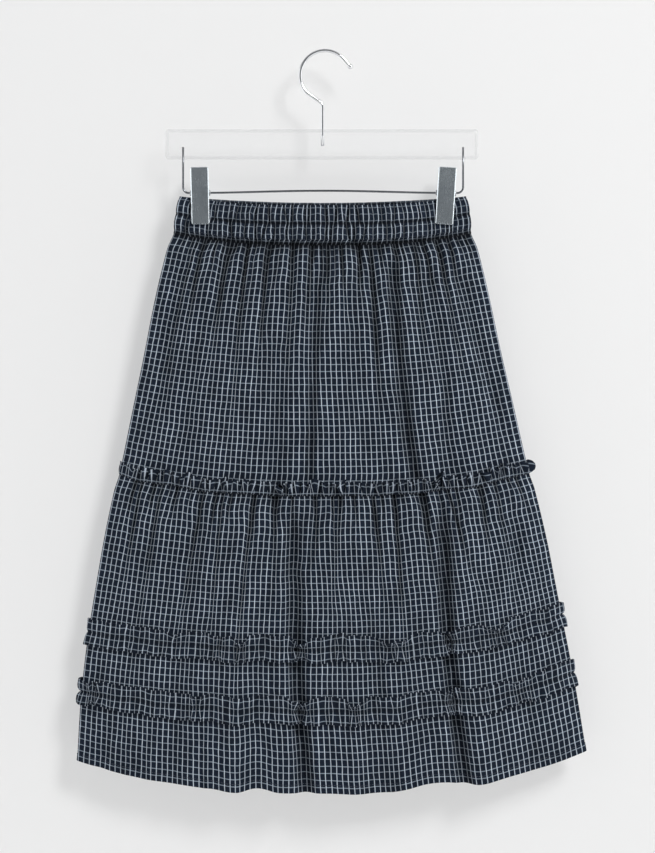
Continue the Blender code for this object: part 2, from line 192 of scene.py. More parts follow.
RIDGE_EVERY, RIDGE_SHARE = 3, 0.7  # every third pucker stands out, lower than a valley is deep
GATHER_FAN = 0.9  # how much wider a pucker is at its end
CUSP = 0.006  # roundness of a valley's bottom
TUCK_SHARE = 0.45  # share of a valley's width that hides cloth
GATHER_START = (0.7, 0.15)  # share of a gather's height at its seam, and where it is full
ARCH_SHARE, ARCH_MOST, ARCH_START = 0.5, 2.0, 0.05  # how a row of the check arches over a ridge
SIDE_GATHER = 0.35  # share of a gather's height that is left at a side seam
RIPPLE_LENGTHS, RIPPLE_HEIGHTS = (47.0, 29.0), (0.8, 0.5)  # low waves all over the tiers
RIPPLE_SLANT, RIPPLE_START = 40, 0.3
PLEAT_REACH = 16.0  # how far round a pleat its spare cloth is drawn from
PLEAT_EVEN, PLEAT_BAND, PLEAT_FOLD = 0.05, 1.3, 0.8  # everywhere, in the band and in folds

# Painted shade: how much darker the cloth is drawn in a gather between two depths, in folds, at stitching
# and on inset rows
DEEP_FROM, DEEP_RANGE = 0.4, 3.2
FOLD_DARK, FOLD_DARK_MOST = 0.3, 0.6
GROOVE_DARK, UNDER_SEAM_DARK, INSET_DARK = 1.1, 0.5, 0.55
GROOVES = ((0.5, 0.045), (WAIST_SEAM, 0.03))  # level and half height
UNDER_SEAMS = ((WAIST_SEAM, 0.013), (TIER_SEAM, 0.012))  # level and reach below it
INSET_ROOM = 3.0  # reach below which an inset shrinks, so that front and back never meet

# ------------------------------------------------------------------ small helpers


def ease(share):
    share = np.clip(share, 0.0, 1.0)
    return share * share * (3 - 2 * share)


def mound(away, half_width):
    """1 in the middle of a width, falling smoothly to 0 at its edges."""
    return 0.5 + 0.5 * np.cos(math.pi * np.clip(away / half_width, 0.0, 1.0))


def named(columns, table):
    """The rows of a table, each as a dictionary by column."""
    return [dict(zip(columns, values)) for values in table]


def unit(vectors):
    return vectors / np.linalg.norm(vectors, axis=-1, keepdims=True)


def smooth_read(at, keys, values):
    """A curve through the table's values with a continuous slope."""
    slopes = np.gradient(values, keys)
    index = np.clip(np.searchsorted(keys, at, side="right") - 1, 0, len(keys) - 2)
    span = keys[index + 1] - keys[index]
    t = np.clip((at - keys[index]) / span, 0.0, 1.0)
    first = (1 + 2 * t) * (1 - t) ** 2 * values[index] + t * (1 - t) ** 2 * span * slopes[index]
    last = t * t * (3 - 2 * t) * values[index + 1] + t * t * (t - 1) * span * slopes[index + 1]
    return first + last


def outline_at(down):
    """The outline's columns at any levels: straight in the waistband, smooth below it."""
    table = np.array(OUTLINE, float)
    levels = table[:, 0]
    below = levels >= WAIST_SEAM
    row = {}
    for number, name in enumerate(OUTLINE_COLUMNS[1:], start=1):
        values = table[:, number]
        smooth = smooth_read(down, levels[below], values[below])
        row[name] = np.where(down <= WAIST_SEAM, np.interp(down, levels, values), smooth)
    return row


def waves(position, seed, lengths, heights):
    """A sum of uneven waves along a position in millimetres."""
    draw = np.random.default_rng(seed)
    total = np.zeros_like(position)
    for length, height in zip(lengths, heights):
        phase, slow, turn = draw.uniform(0, TURN, 3)
        bend = 0.9 * np.sin(position * TURN / (length * 5.3) + slow)
        swell = 0.75 + 0.35 * np.sin(position * TURN / (length * 3.7) + turn)
        total += height * swell * np.sin(position * TURN / length + phase + bend)
    return total


def averaged(values, window):
    """Running mean along each row."""
    padded = np.pad(values, ((0, 0), (window, window)), mode="edge")
    total = np.cumsum(np.pad(padded, ((0, 0), (1, 0))), axis=1)
    span = 2 * window + 1
    return (total[:, span:] - total[:, :-span]) / span


# ------------------------------------------------------------------ the skirt's form


def fold_press(side, across, down, half):
    """How far the named folds press the cloth in, and their ridges push it out."""
    total = np.zeros(np.broadcast(across, down).shape)
    for fold in named(FOLD_COLUMNS, FOLDS[side]):
        t = np.clip((down - fold["start"]) / (fold["end"] - fold["start"]), 0.0, 1.0)
        middle = (
            fold["top"] * (1 - t) * (1 - 2 * t)
            + fold["middle"] * 4 * t * (1 - t)
            + fold["bottom"] * t * (2 * t - 1)
        )
        fade = ease((down - fold["start"]) / FOLD_FADE) * ease((fold["end"] - down) / FOLD_FADE)
        total += fold["press"] * fade * mound(np.abs(across - middle) * half, fold["half_width"])
    return total


def gather_set(kinds, seed):
    """Seeded puckers: each has its own place, lean, length, width and height."""
    draw = np.random.default_rng(seed)
    made = []
    for kind in named(GATHER_COLUMNS, kinds):
        count = kind["count"]
        shifts = draw.uniform(-GATHER_SHIFT, GATHER_SHIFT, count)
        for number, spot in enumerate((np.arange(count) + 0.5 + shifts) / count * 2 - 1):
            pucker = {"seam": kind["seam"], "way": kind["way"], "spot": spot * GATHER_END}
            for key in ("length", "half_width", "height"):
                pucker[key] = draw.uniform(*kind[key])
            pucker["height"] *= -1.0 if number % RIDGE_EVERY else RIDGE_SHARE
            pucker["drift"] = draw.normal(0.0, kind["drift"])
            made.append(pucker)
    return made


def gather_sums(puckers, across, down, half):
    """The puckers' height out of the cloth, and how much cloth their valleys hide."""
    shape = np.broadcast(across, down).shape
    height, pleat = np.zeros(shape), np.zeros(shape)
    at_seam, full_at = GATHER_START
    for pucker in puckers:
        share = pucker["way"] * (down - pucker["seam"]) / pucker["length"]
        along = np.clip(share, 0.0, 1.0)
        away = np.abs(across - pucker["spot"] - pucker["drift"] * along) * half
        fanned = pucker["half_width"] * (1 + GATHER_FAN * along)
        started = at_seam + (1 - at_seam) * ease(along / full_at)
        fade = started * (1 - ease(along)) * (share >= 0)
        if pucker["height"] > 0:
            height += pucker["height"] * fade * mound(away, fanned)
            continue
        aside = np.clip(away / fanned, 0.0, 1.0)
        height += pucker["height"] * fade * (1 - np.sqrt(aside * aside + CUSP)) ** 2
        pleat -= pucker["height"] * fade * mound(away, TUCK_SHARE * fanned)
    return height, pleat


PUCKERS, BAND_PUCKERS = {}, {}
for side, seed in GATHER_SEEDS.items():
    PUCKERS[side] = gather_set(GATHERS, seed)
    BAND_PUCKERS[side] = [gather_set((kind,), seed + 5 + int(kind[0])) for kind in BAND_CHANNELS]


def puff_at(down, column):
    """How far the cloth stands out under its gathered seams."""
    total = 0.0 * down
    for puff in named(PUFF_COLUMNS, PUFFS):
        rise = ease((down - puff["seam"]) / (puff["deepest"] - puff["seam"]))
        fall = 1 - ease((down - puff["deepest"]) / (puff["end"] - puff["deepest"]))
        total = total + puff[column] * rise * fall
    return total


def hem_rise(side, x, down):
    total = np.zeros(np.broadcast(x, down).shape)
    low_down = ease((down - HEM_LIFT_START) / (HEM - HEM_LIFT_START))
    for lift in named(HEM_COLUMNS, HEM_LIFTS[side]):
        total += lift["rise"] * low_down * mound(np.abs(x - lift["x"]), lift["half_width"])
    return total


def channels(down):
    """1 in the middle of each elastic channel of the waistband, 0 at its rows of stitching."""
    return np.abs(np.sin(TURN * np.clip(down, 0.0, 1.0)))


def skin(side, across, down):
    """x, reach from the middle plane, and z of the cloth's outer face, in millimetres."""
    row = outline_at(down)
    half = (row["right_x"] - row["left_x"]) / 2 + puff_at(down, "side_reach")
    half = half + BAND_BULGE * channels(down) ** 0.7
    size = np.abs(across)
    lens = 1 - size**LENS_POWER
    gape = np.clip(1 - (across / GAPE_REACH) ** 2, 0.0, 1.0) ** 2
    freed = ease((down - FREE_OF_CLIPS[0]) / (FREE_OF_CLIPS[1] - FREE_OF_CLIPS[0]))
    body = row["depth"] * (gape + (lens - gape) * freed) - fold_press(side, across, down, half)
    nearest = np.minimum(np.abs(down - WAIST_SEAM), np.abs(down - TIER_SEAM) + (down > TIER_SEAM))
    pinch = SEAM_PINCH * np.exp(-((nearest / SEAM_PINCH_REACH) ** 2))
    loose_top = LOOSE_TOP * (down > TIER_SEAM) * (1 - ease((down - TIER_SEAM) / LOOSE_TOP_END))
    body = body + lens * (puff_at(down, "face_reach") - pinch + loose_top)
    gathered = gather_sums(PUCKERS[side], across, down, half)[0]
    body = body + gathered * (SIDE_GATHER + (1 - SIDE_GATHER) * lens)
    from_seam = np.where(down < 1.5, down - WAIST_SEAM, down - TIER_SEAM)
    arch = ARCH_SHARE * np.minimum(gathered, ARCH_MOST) * ease(from_seam / ARCH_START)
    arch = arch * (1 - size**END_POWER)
    ripple_at = across * half + RIPPLE_SLANT * down
    ripple = waves(ripple_at, GATHER_SEEDS[side], RIPPLE_LENGTHS, RIPPLE_HEIGHTS)
    body = body + ease((down - WAIST_SEAM) / RIPPLE_START) * lens * ripple
    body = 0.5 * (body + np.sqrt(body * body + 1.0)) - 0.5 * (1 - size**8)
    body = np.where(size < 1, body, 0.0)
    turn = np.clip((size * half - (half - SIDE_ROUND)) / SIDE_ROUND, 0.0, 1.0)
    reach = SEAM_GAP / 2 + (SIDE_ROUND + body) * np.sqrt(1 - turn * turn)
    middle_z = row["middle_z"]
    if side == "back":
        middle_z = middle_z + BACK_RISE * np.clip(WAIST_SEAM - down, 0.0, 1.0)
    x = (row["right_x"] + row["left_x"]) / 2 + half * across
    end_z = np.where(across < 0, row["left_z"], row["right_z"])
    z = end_z + (middle_z - end_z) * (1 - size**SAG_POWER) + hem_rise(side, x, down) + arch
    return x, reach, z


def columns_across(count):
    """Places across the cloth, closer together where it turns at the side seams."""
    corner = SIDE_ROUND / TYPICAL_HALF
    ends = 1 - corner * (1 - np.sin(np.linspace(0.0, math.pi / 2, 7)))
    middle = np.linspace(-1 + corner, 1 - corner, count)
    return np.concatenate([-ends[::-1], middle[1:-1], ends])


def band_sums(side, across, down, half):
    """Gathers of the waistband: each elastic channel has its own."""
    height, pleat = 0.0, 0.0
    for number, puckers in enumerate(BAND_PUCKERS[side]):
        from_middle = down - CHANNEL_HALF * (1 + 2 * number)
        share = ease(1.5 - (np.abs(from_middle) if number else from_middle) / CHANNEL_HALF)
        near_down = BAND_CHANNELS[number][0] + 0.15 + 0.5 * np.clip(from_middle, -CHANNEL_HALF, CHANNEL_HALF)
        more, tucked = gather_sums(puckers, across, near_down, half)
        height = height + more * share
        pleat = pleat + tucked * share
    return height, pleat


def pleats_of(side, across, down):
    """Where the cloth's spare width is hidden: in gathers or everywhere, and in named folds."""
    row = outline_at(down)
    half = (row["right_x"] - row["left_x"]) / 2
    banded = down <= WAIST_SEAM
    below = gather_sums(PUCKERS[side], across, down, half)[1] * ~banded
    above = band_sums(side, across, down, half)[1] * banded
    pressed = np.clip(fold_press(side, across, down, half), 0.0, None)
    return PLEAT_EVEN + PLEAT_BAND * above + below, (pressed / FOLD_PLEAT_PRESS) ** 2


def clipped(x, down):
    """1 where a clip holds the waistband flat, 0 away from it."""
    aside = np.min([np.abs(x - place) for place in CLIP_PLACES], axis=0)
    beside = 1 - ease((aside - CLIP_HALF) / CLIP_SOFT)
    return beside * (1 - ease((down - CLIP_FOOT) / CLIP_FOOT_SOFT))


def band_shape(side, x, across, down):
    """How far out and up two elastic channels and their uneven gathers carry the cloth."""
    held = clipped(x, down)
    fine = band_sums(side, across, down, BAND_HALF)[0]
    swell = channels(down) ** 0.5
    stand = BAND_STAND + BAND_SWELL * swell + fine * (0.45 + 0.55 * swell) * (1 - np.abs(across) ** 12)
    stand = stand + (np.minimum(stand, CLIPPED_STAND) - stand) * held
    return stand, BAND_BEND * fine * (1 - held) * channels(down) * (1 - across**END_POWER)


def painted_seam_shade(down):
    """Painted shade along the rows of stitching between the channels and under the seams."""
    groove = sum(np.exp(-(((down - level) / half) ** 2)) for level, half in GROOVES)
    under = 0.0
    for seam, reach in UNDER_SEAMS:
        under = under + np.exp(-np.clip(down - seam, 0, None) / reach) * (down > seam)
    return GROOVE_DARK * np.clip(groove, 0, 1) + UNDER_SEAM_DARK * under


def lengths_along(points, total, pleats):
    """Cloth length along each row of points: true to size, with what is left over in the pleats."""
    steps = np.linalg.norm(np.diff(points[..., :2], axis=1), axis=2)
    flat = np.abs(np.diff(points[..., 0], axis=1)) + 1e-6
    weight = (pleats[:, 1:] + pleats[:, :-1]) / 2
    window = max(3, round(PLEAT_REACH / float(np.median(flat))))

    def near(values):
        return averaged(averaged(values, window), window)

    even = total / flat.sum(axis=1, keepdims=True)
    spare = np.clip((even - 1) * near(flat) - near(steps - flat), 0.0, None)
    steps = steps + spare * weight * flat / near(weight * flat)
    steps = steps * total / steps.sum(axis=1, keepdims=True)
    return np.concatenate([np.zeros((len(points), 1)), np.cumsum(steps, axis=1)], axis=1)


# ------------------------------------------------------------------ materials


class Nodes:
    """Short calls for building a node tree. An input is another node's output, a number or a colour."""

    def __init__(self, owner, shader="Principled BSDF"):
        owner.use_nodes = True
        self.owner = owner
        self.tree = owner.node_tree
        self.shader = self.tree.nodes[shader]

    def put(self, node, inputs):
        for key, value in inputs.items():
            socket = node.inputs[key]
            if isinstance(value, bpy.types.NodeSocket):
                self.tree.links.new(value, socket)
            elif socket.type == "RGBA":
                socket.default_value = (*value, 1.0)
            else:
                socket.default_value = value

    def add(self, kind, inputs=None, **settings):
        node = self.tree.nodes.new(kind)
        for key, value in settings.items():
            setattr(node, key, value)
        self.put(node, inputs or {})
        return node

    def maths(self, operation, *values):
        return self.add("ShaderNodeMath", dict(enumerate(values)), operation=operation).outputs[0]

    def blend(self, share, first, second, kind="MIX"):
        inputs = {0: share, 6: first, 7: second}
        return self.add("ShaderNodeMix", inputs, data_type="RGBA", blend_type=kind).outputs[2]

    def fade(self, value, start, end, first=0.0, last=1.0):
        inputs = {"Value": value, "From Min": start, "From Max": end, "To Min": first, "To Max": last}
        return self.add("ShaderNodeMapRange", inputs, interpolation_type="SMOOTHSTEP").outputs[0]

    def noise(self, vector, scale, detail=2.0, roughness=0.5):
        inputs = {"Vector": vector, "Scale": scale, "Detail": detail, "Roughness": roughness}
        return self.add("ShaderNodeTexNoise", inputs).outputs["Fac"]

    def stretched(self, vector, scale):
        return self.add("ShaderNodeMapping", {"Vector": vector, "Scale": scale}).outputs["Vector"]

    def bump(self, height, strength, distance, before=None):
        inputs = {"Height": height, "Strength": strength, "Distance": distance}
        if before is not None:
            inputs["Normal"] = before
        return self.add("ShaderNodeBump", inputs).outputs["Normal"]


def new_surface(name, **inputs):
    nodes = Nodes(bpy.data.materials.new(name))
    nodes.put(nodes.shader, {key.replace("_", " "): value for key, value in inputs.items()})
    return nodes


NAVY_DARK = (0.0044, 0.0074, 0.0145)
NAVY_LIGHT = (0.0110, 0.0170, 0.0290)
LINE_DOWN = (0.47, 0.53, 0.61)
LINE_ACROSS = (0.235, 0.28, 0.335)
LINE_HALF = 0.40  # half width of a check line, in millimetres
LINE_CORE, LINE_SOFT = 0.20, 2.00  # shares of that half width that are full and that fade out
LINE_WANDER = 0.0016  # how far a line strays, in metres
THREAD = 0.42  # pitch of the threads of the weave
SLUB_LONG, SLUB_SHORT = 60.0, 2200.0
GATHER_PAINTED_SHADE = 0.72  # painted shade: how much darker the cloth is drawn deep in a gather


def line_mask(nodes, place, pitch, jitter):
    """1 on a line of the check, 0 between the lines, with soft uneven edges."""
    share = nodes.maths("FRACT", nodes.maths("DIVIDE", nodes.maths("ADD", place, jitter), pitch * MM))
    away = nodes.maths("ABSOLUTE", nodes.maths("SUBTRACT", share, 0.5))
    inside = LINE_HALF / pitch
    return nodes.fade(away, inside * LINE_CORE, inside * LINE_SOFT, 1.0, 0.0)


def check_cloth(name, rows=1.0):
    """Plain-weave cotton: navy with fine pale lines both ways, woven threads and slubs, with painted shade
    in its gathers.

    rows is the strength of the lines that run across.
    """
    nodes = new_surface(
        name, Specular_IOR_Level=0.07, Sheen_Weight=0.03, Sheen_Roughness=0.5, Sheen_Tint=(0.75, 0.82, 0.92)
    )
    maths = nodes.maths
    cloth = nodes.add("ShaderNodeUVMap", uv_map="cloth").outputs[0]
    across, down, _ = nodes.add("ShaderNodeSeparateXYZ", {0: cloth}).outputs
    jitter = maths("MULTIPLY", maths("SUBTRACT", nodes.noise(cloth, 60.0), 0.5), LINE_WANDER)
    slub_down = nodes.noise(nodes.stretched(cloth, (SLUB_SHORT, SLUB_LONG, 1.0)), 1.0)
    slub_across = nodes.noise(nodes.stretched(cloth, (SLUB_LONG, SLUB_SHORT, 1.0)), 1.0)
    slubs = maths("MULTIPLY", maths("ADD", slub_down, slub_across), 0.5)
    weft, warp = (maths("SINE", maths("MULTIPLY", run, TURN / (THREAD * MM))) for run in (down, across))
    weave = maths("MULTIPLY_ADD", maths("MULTIPLY", warp, weft), 0.5, 0.5)
    patch = nodes.noise(nodes.stretched(cloth, (2.6, 1.0, 1.0)), 24.0, 4.0, 0.62)
    lines_down = line_mask(nodes, across, CHECK_ACROSS, jitter)
    lines_down = maths("MULTIPLY", lines_down, maths("MULTIPLY_ADD", slub_down, 0.5, 0.62))
    lines_across = line_mask(nodes, down, CHECK_DOWN, jitter)
    lines_across = maths("MULTIPLY", lines_across, maths("MULTIPLY_ADD", slub_across, 0.5, 0.58))
    lines_across = maths("MULTIPLY", lines_across, rows)
    lined = nodes.blend(lines_across, nodes.blend(slubs, NAVY_DARK, NAVY_LIGHT), LINE_ACROSS)
    lined = nodes.blend(lines_down, lined, LINE_DOWN)
    # Painted shade: the fold-shade attribute darkens the cloth in gathers, folds, grooves, under seams and
    # in crumples.
    deep = nodes.add("ShaderNodeAttribute", attribute_name="painted_fold_shade").outputs["Fac"]
    worn = maths("MULTIPLY_ADD", patch, 1.5, 0.25)
    shade = maths("MULTIPLY", worn, maths("MULTIPLY_ADD", weave, 0.30, 0.85))
    shade = maths("MULTIPLY", shade, maths("MULTIPLY_ADD", deep, -GATHER_PAINTED_SHADE, 1.0))
    tint = nodes.add("ShaderNodeCombineXYZ", {0: shade, 1: shade, 2: shade}).outputs[0]
    surface = {
        "Base Color": nodes.blend(1.0, lined, tint, "MULTIPLY"),
        "Roughness": maths("MULTIPLY_ADD", slubs, 0.12, 0.78),
        "Normal": nodes.bump(slubs, 0.30, 0.00025, nodes.bump(weave, 0.35, 0.00012)),
    }
    nodes.put(nodes.shader, surface)
    return nodes.owner


def thread_material():
    """Twisted sewing thread."""
    nodes = new_surface("navy_thread", Roughness=0.6)
    place = nodes.add("ShaderNodeTexCoord").outputs["Object"]
    twist = nodes.noise(nodes.stretched(place, (3200.0, 3200.0, 3200.0)), 1.0, 1.0)
    tone = nodes.blend(twist, (0.012, 0.017, 0.030), (0.045, 0.055, 0.080))
    nodes.put(nodes.shader, {"Base Color": tone, "Normal": nodes.bump(twist, 0.4, 0.0001)})
    return nodes.owner


def chrome_material(name, colour, roughness, brushed):
    """Bright plated metal, with faint brush marks or wear."""
    nodes = new_surface(name, Metallic=1.0)
    place = nodes.add("ShaderNodeTexCoord").outputs["Object"]
    grain = nodes.noise(nodes.stretched(place, brushed), 1.0, 3.0)
    patch = nodes.noise(nodes.stretched(place, (60.0, 60.0, 60.0)), 1.0, 3.0)
    mixed = nodes.maths("MULTIPLY_ADD", patch, 0.5, nodes.maths("MULTIPLY", grain, 0.5))
    surface = {
        "Base Color": nodes.blend(mixed, tuple(part * 0.80 for part in colour), colour),
        "Roughness": nodes.maths("MULTIPLY_ADD", mixed, 0.16, roughness - 0.06),
        "Normal": nodes.bump(grain, 0.12, 0.00005),
    }
    nodes.put(nodes.shader, surface)
    return nodes.owner


def acrylic_material(name, colour, alpha):
    """Clear plastic with a few scuffs: faint on its faces; its edges get a darker, less clear copy, painted
    shade for the dark lines that refraction draws along them.
    """
    nodes = new_surface(name, Base_Color=colour, Alpha=alpha, IOR=1.49)
    place = nodes.add("ShaderNodeTexCoord").outputs["Object"]
    scuffs = nodes.noise(nodes.stretched(place, (40.0, 900.0, 900.0)), 1.0)
    nodes.put(nodes.shader, {"Roughness": nodes.maths("MULTIPLY_ADD", scuffs, 0.10, 0.05)})
    nodes.owner.blend_method = "BLEND"
    return nodes.owner


CLOTH = check_cloth("check_cotton")
BAND = check_cloth("band_cotton", rows=0.58)
FRILL = check_cloth("frill_cotton")
THREAD_NAVY = thread_material()
CHROME_WIRE = chrome_material("bright_chrome_wire", (0.80, 0.81, 0.83), 0.12, (900.0, 900.0, 90.0))
CHROME_PLATE = chrome_material("brushed_plate", (0.67, 0.73, 0.77), 0.24, (1500.0, 1500.0, 60.0))
# Painted reflection: the rod is the same chrome as the hook, coloured much darker to stand in for the dark
# surroundings it reflects.
CHROME_ROD_SHADED = chrome_material("chrome_rod_painted_dark", (0.24, 0.25, 0.27), 0.16, (900.0, 900.0, 90.0))
DARK_STEEL = chrome_material("spring_steel", (0.42, 0.43, 0.45), 0.30, (900.0, 900.0, 900.0))
ACRYLIC = acrylic_material("clear_acrylic_face", (0.62, 0.63, 0.64), 0.08)
# Painted shade: a darker, less clear copy of the acrylic for the bar's bevelled edges.
ACRYLIC_EDGE = acrylic_material("acrylic_edge_painted_shade", (0.52, 0.53, 0.54), 0.17)

# ------------------------------------------------------------------ meshes


def place_in_scene(name, data):
    item = bpy.data.objects.new(name, data)
    bpy.context.scene.collection.objects.link(item)
    return item


def grid_object(name, points, uv, depth, material, flip=False, ring=False, thick=CLOTH_THICK):
    """A cloth mesh from a grid of points (rows, columns, 3) in millimetres, with its cut's UVs.

    depth is the painted shade at each point, darker deep in gathers, folds and seams. A ring's UVs
    have one column more than its points, so that the check runs on over the join.
    """
    rows, columns = points.shape[:2]
    spans = columns if ring else columns - 1
    row, column = np.arange(rows - 1)[:, None], np.arange(spans)[None, :]

    def quads(width, after):
        corners = (row * width + column, (row + 1) * width + column)
        corners += ((row + 1) * width + after, row * width + after)
        return np.stack(corners[::-1] if flip else corners, -1).reshape(-1, 4)

    faces = quads(columns, (column + 1) % columns)
    spots = quads(uv.shape[1], column + 1).ravel()
    mesh = bpy.data.meshes.new(name)
    mesh.from_pydata((points.reshape(-1, 3) * MM).tolist(), [], faces.tolist())
    layer = mesh.uv_layers.new(name="cloth")
    layer.data.foreach_set("uv", (uv.reshape(-1, 2)[spots] * MM).astype(np.float32).ravel())
    # Painted shade, kept on each point for the cloth's material to darken it.
    deep = mesh.attributes.new("painted_fold_shade", "FLOAT", "POINT")
    deep.data.foreach_set("value", np.clip(depth, 0.0, 1.0).astype(np.float32).ravel())
    mesh.shade_smooth()
    mesh.materials.append(material)
    item = place_in_scene(name, mesh)
    shell = item.modifiers.new("cloth", "SOLIDIFY")
    shell.thickness = thick * MM
    shell.offset = -1.0
    shell.use_even_offset = False
    return item


def mesh_object(name, verts, faces, material):
    """A smooth mesh from points in millimetres, with its faces turned outwards."""
    mesh = bpy.data.meshes.new(name)
    mesh.from_pydata((np.asarray(verts, float) * MM).tolist(), [], [tuple(face) for face in faces])
    edit = bmesh.new()
    edit.from_mesh(mesh)
    bmesh.ops.recalc_face_normals(edit, faces=edit.faces)
    edit.to_mesh(mesh)
    edit.free()
    mesh.shade_smooth()
    mesh.materials.append(material)
    return place_in_scene(name, mesh)


def tube_mesh(points, radius, sides=8, closed=False, radii=None):
    """Vertices and faces of a round tube along a line of points."""
    points = np.asarray(points, float)
    count = len(points)
    if closed:
        tangents = unit(np.roll(points, -1, axis=0) - np.roll(points, 1, axis=0))
    else:
        tangents = unit(np.gradient(points, axis=0))
    across = np.zeros_like(points)
    first = np.cross(tangents[0], (0.0, 0.0, 1.0))
    if np.linalg.norm(first) < 0.2:
        first = np.cross(tangents[0], (0.0, 1.0, 0.0))
    across[0] = unit(first)
    for number in range(1, count):
        before = across[number - 1]
        across[number] = unit(before - tangents[number] * before.dot(tangents[number]))
    other = np.cross(tangents, across)
    angle = (np.arange(sides) / sides * TURN)[None, :, None]
    sizes = np.full(count, radius) if radii is None else np.asarray(radii, float)
    around = across[:, None, :] * np.cos(angle) + other[:, None, :] * np.sin(angle)
    verts = (points[:, None, :] + around * sizes[:, None, None]).reshape(-1, 3)
    row, side = np.arange(count if closed else count - 1)[:, None], np.arange(sides)[None, :]
    far, after = (row + 1) % count * sides, (side + 1) % sides
    corners = (row * sides + side, far + side, far + after, row * sides + after)
    faces = np.stack(corners, -1).reshape(-1, 4).tolist()
    if not closed:
        faces += [list(range(sides)), list(range((count - 1) * sides, count * sides))[::-1]]
    return verts, faces


def joined_tubes(name, lines, material):
    """One piece from several tubes: (points, radius, sides, radii)."""
    verts, faces = [], []
    for points, radius, sides, radii in lines:
        more, quads = tube_mesh(points, radius, sides, radii=radii)
        start = sum(len(part) for part in verts)
        verts.append(more)
        faces += [[start + corner for corner in quad] for quad in quads]
    return mesh_object(name, np.concatenate(verts), faces, material)


# ------------------------------------------------------------------ panels


def panel(key, side, rows, columns, material, shape=None):
    """One panel of the skirt, from rows of (down, inset from the outer face, drop)."""
    sign, cut = SIGNS[side], dict(zip(CUT_COLUMNS, CUTS[key]))
    across = columns_across(columns)[None, :]
    down, inset, drop = (np.array(part, float)[:, None] for part in rows)
    x, reach, z = skin(side, across, down)
    if shape is not None:
        stand, bend = shape(side, x, across, down)
        reach, z = reach + stand, z + bend
    outer = np.stack([x, sign * reach, z + drop], -1)
    points = outer.copy()
    room = np.minimum(1.0, (reach - SEAM_GAP / 2) / INSET_ROOM)
    points[..., 1] = sign * np.maximum(reach - inset * room, SEAM_GAP / 2)
    gathered, folded = pleats_of(side, across, down)
    u = lengths_along(outer, cut["wide"], gathered + PLEAT_FOLD * folded)
    v = -(np.interp(down, CLOTH_STAGES, CLOTH_LENGTHS) + np.abs(inset)) - cut["start"] + 0.0 * u
    # Painted shade: darker deep in gathers, along grooves and under seams, in named folds and on the inset
    # rows.
    depth = np.clip((gathered - DEEP_FROM) / DEEP_RANGE, 0.0, 1.0) + painted_seam_shade(down)
    depth = depth + np.minimum(FOLD_DARK * np.sqrt(folded), FOLD_DARK_MOST)
    if shape is not None:
        depth = depth + INSET_DARK * np.clip(inset, 0.0, 1.0)
    uv = np.stack([u, v], -1)
    return grid_object(f"{key}_{side}_cloth", points, uv, depth, material, flip=side == "back")


def roll(inset, steps):
    """Insets and drops of a cloth edge that turns over, from outside to inside."""
    turns = np.linspace(0.0, math.pi, steps + 2)[1:-1]
    return inset / 2 * (1 - np.cos(turns)), inset / 2 * np.sin(turns)


def waistband_rows():
    """Up the inside from the waist seam, over the waist edge and down the outside."""
    inset = 2.3
    insets, drops = roll(inset, 5)
    outer = np.concatenate([[0.985], np.linspace(1.012, 0.0, 27)])
    downs = np.concatenate([outer, np.zeros(5), np.linspace(0.0, 0.99, 9)])
    insets = np.concatenate([[1.2], np.zeros(27), insets, np.full(9, inset)])
    drops = np.concatenate([np.zeros(28), drops, np.zeros(9)])
    return downs[::-1], insets[::-1], drops[::-1]


def upper_tier_rows():
    near = WAIST_SEAM + 0.002 + 0.25 * np.linspace(0, 1, 34) ** 1.1
    far = np.linspace(near[-1], TIER_SEAM - 0.001, 66)[1:]
    downs = np.concatenate([[0.97, 0.99], near, far])
    insets = np.concatenate([[1.6, 1.3, 0.6], np.zeros(len(downs) - 3)])
    return downs, insets, np.zeros(len(downs))


def lower_tier_rows():
    """Down the outside from the seam, round the hem and a little way up its inside."""
    hem_inset, hem_turn = 1.1, 0.027
    insets, drops = roll(hem_inset, 4)
    near = TIER_SEAM + 0.001 + 0.2 * np.linspace(0, 1, 32) ** 1.1
    far = np.linspace(near[-1], HEM, 72)[1:]
    outer = np.concatenate([[1.985, 1.995], near, far])
    downs = np.concatenate([outer, np.full(4, HEM), np.linspace(HEM, HEM - hem_turn, 4)])
    insets = np.concatenate([[1.2, 0.9, 0.5], np.zeros(len(outer) - 3), insets, np.full(4, hem_inset)])
    drops = np.concatenate([np.zeros(len(outer)), -drops, np.zeros(4)])
    return downs, insets, drops


COLUMNS = {"front": 376, "back": 272}
for side in ("front", "back"):
    for key, rows, fewer, material, shape in (
        ("waistband", waistband_rows(), 20, BAND, band_shape),
        ("upper_tier", upper_tier_rows(), 0, CLOTH, None),
        ("lower_tier", lower_tier_rows(), 0, CLOTH, None),
    ):
        piece = panel(key, side, rows, COLUMNS[side] - fewer, material, shape)
        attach(piece, "root")
        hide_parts(f"{key}_{side}")

# ------------------------------------------------------------------ frill and ruffles

TRIM_COLUMNS = ("cad", "style", "top", "middle", "wide", "seed")
TRIMS = (
    ("heading_frill", "frill", 1.959, 2.0, 12.0, 5),
    ("ruffle_upper", "ruffle", 2.487, 2.53, 30.0, 21),
    ("ruffle_lower", "ruffle", 2.692, 2.735, 30.0, 33),
)
TRIM_CUT, TRIM_THICK = 1500.0, 0.45
EDGE_ROLL, EDGE_SIDES, EDGE_STEP = 0.62, 6, 0.35
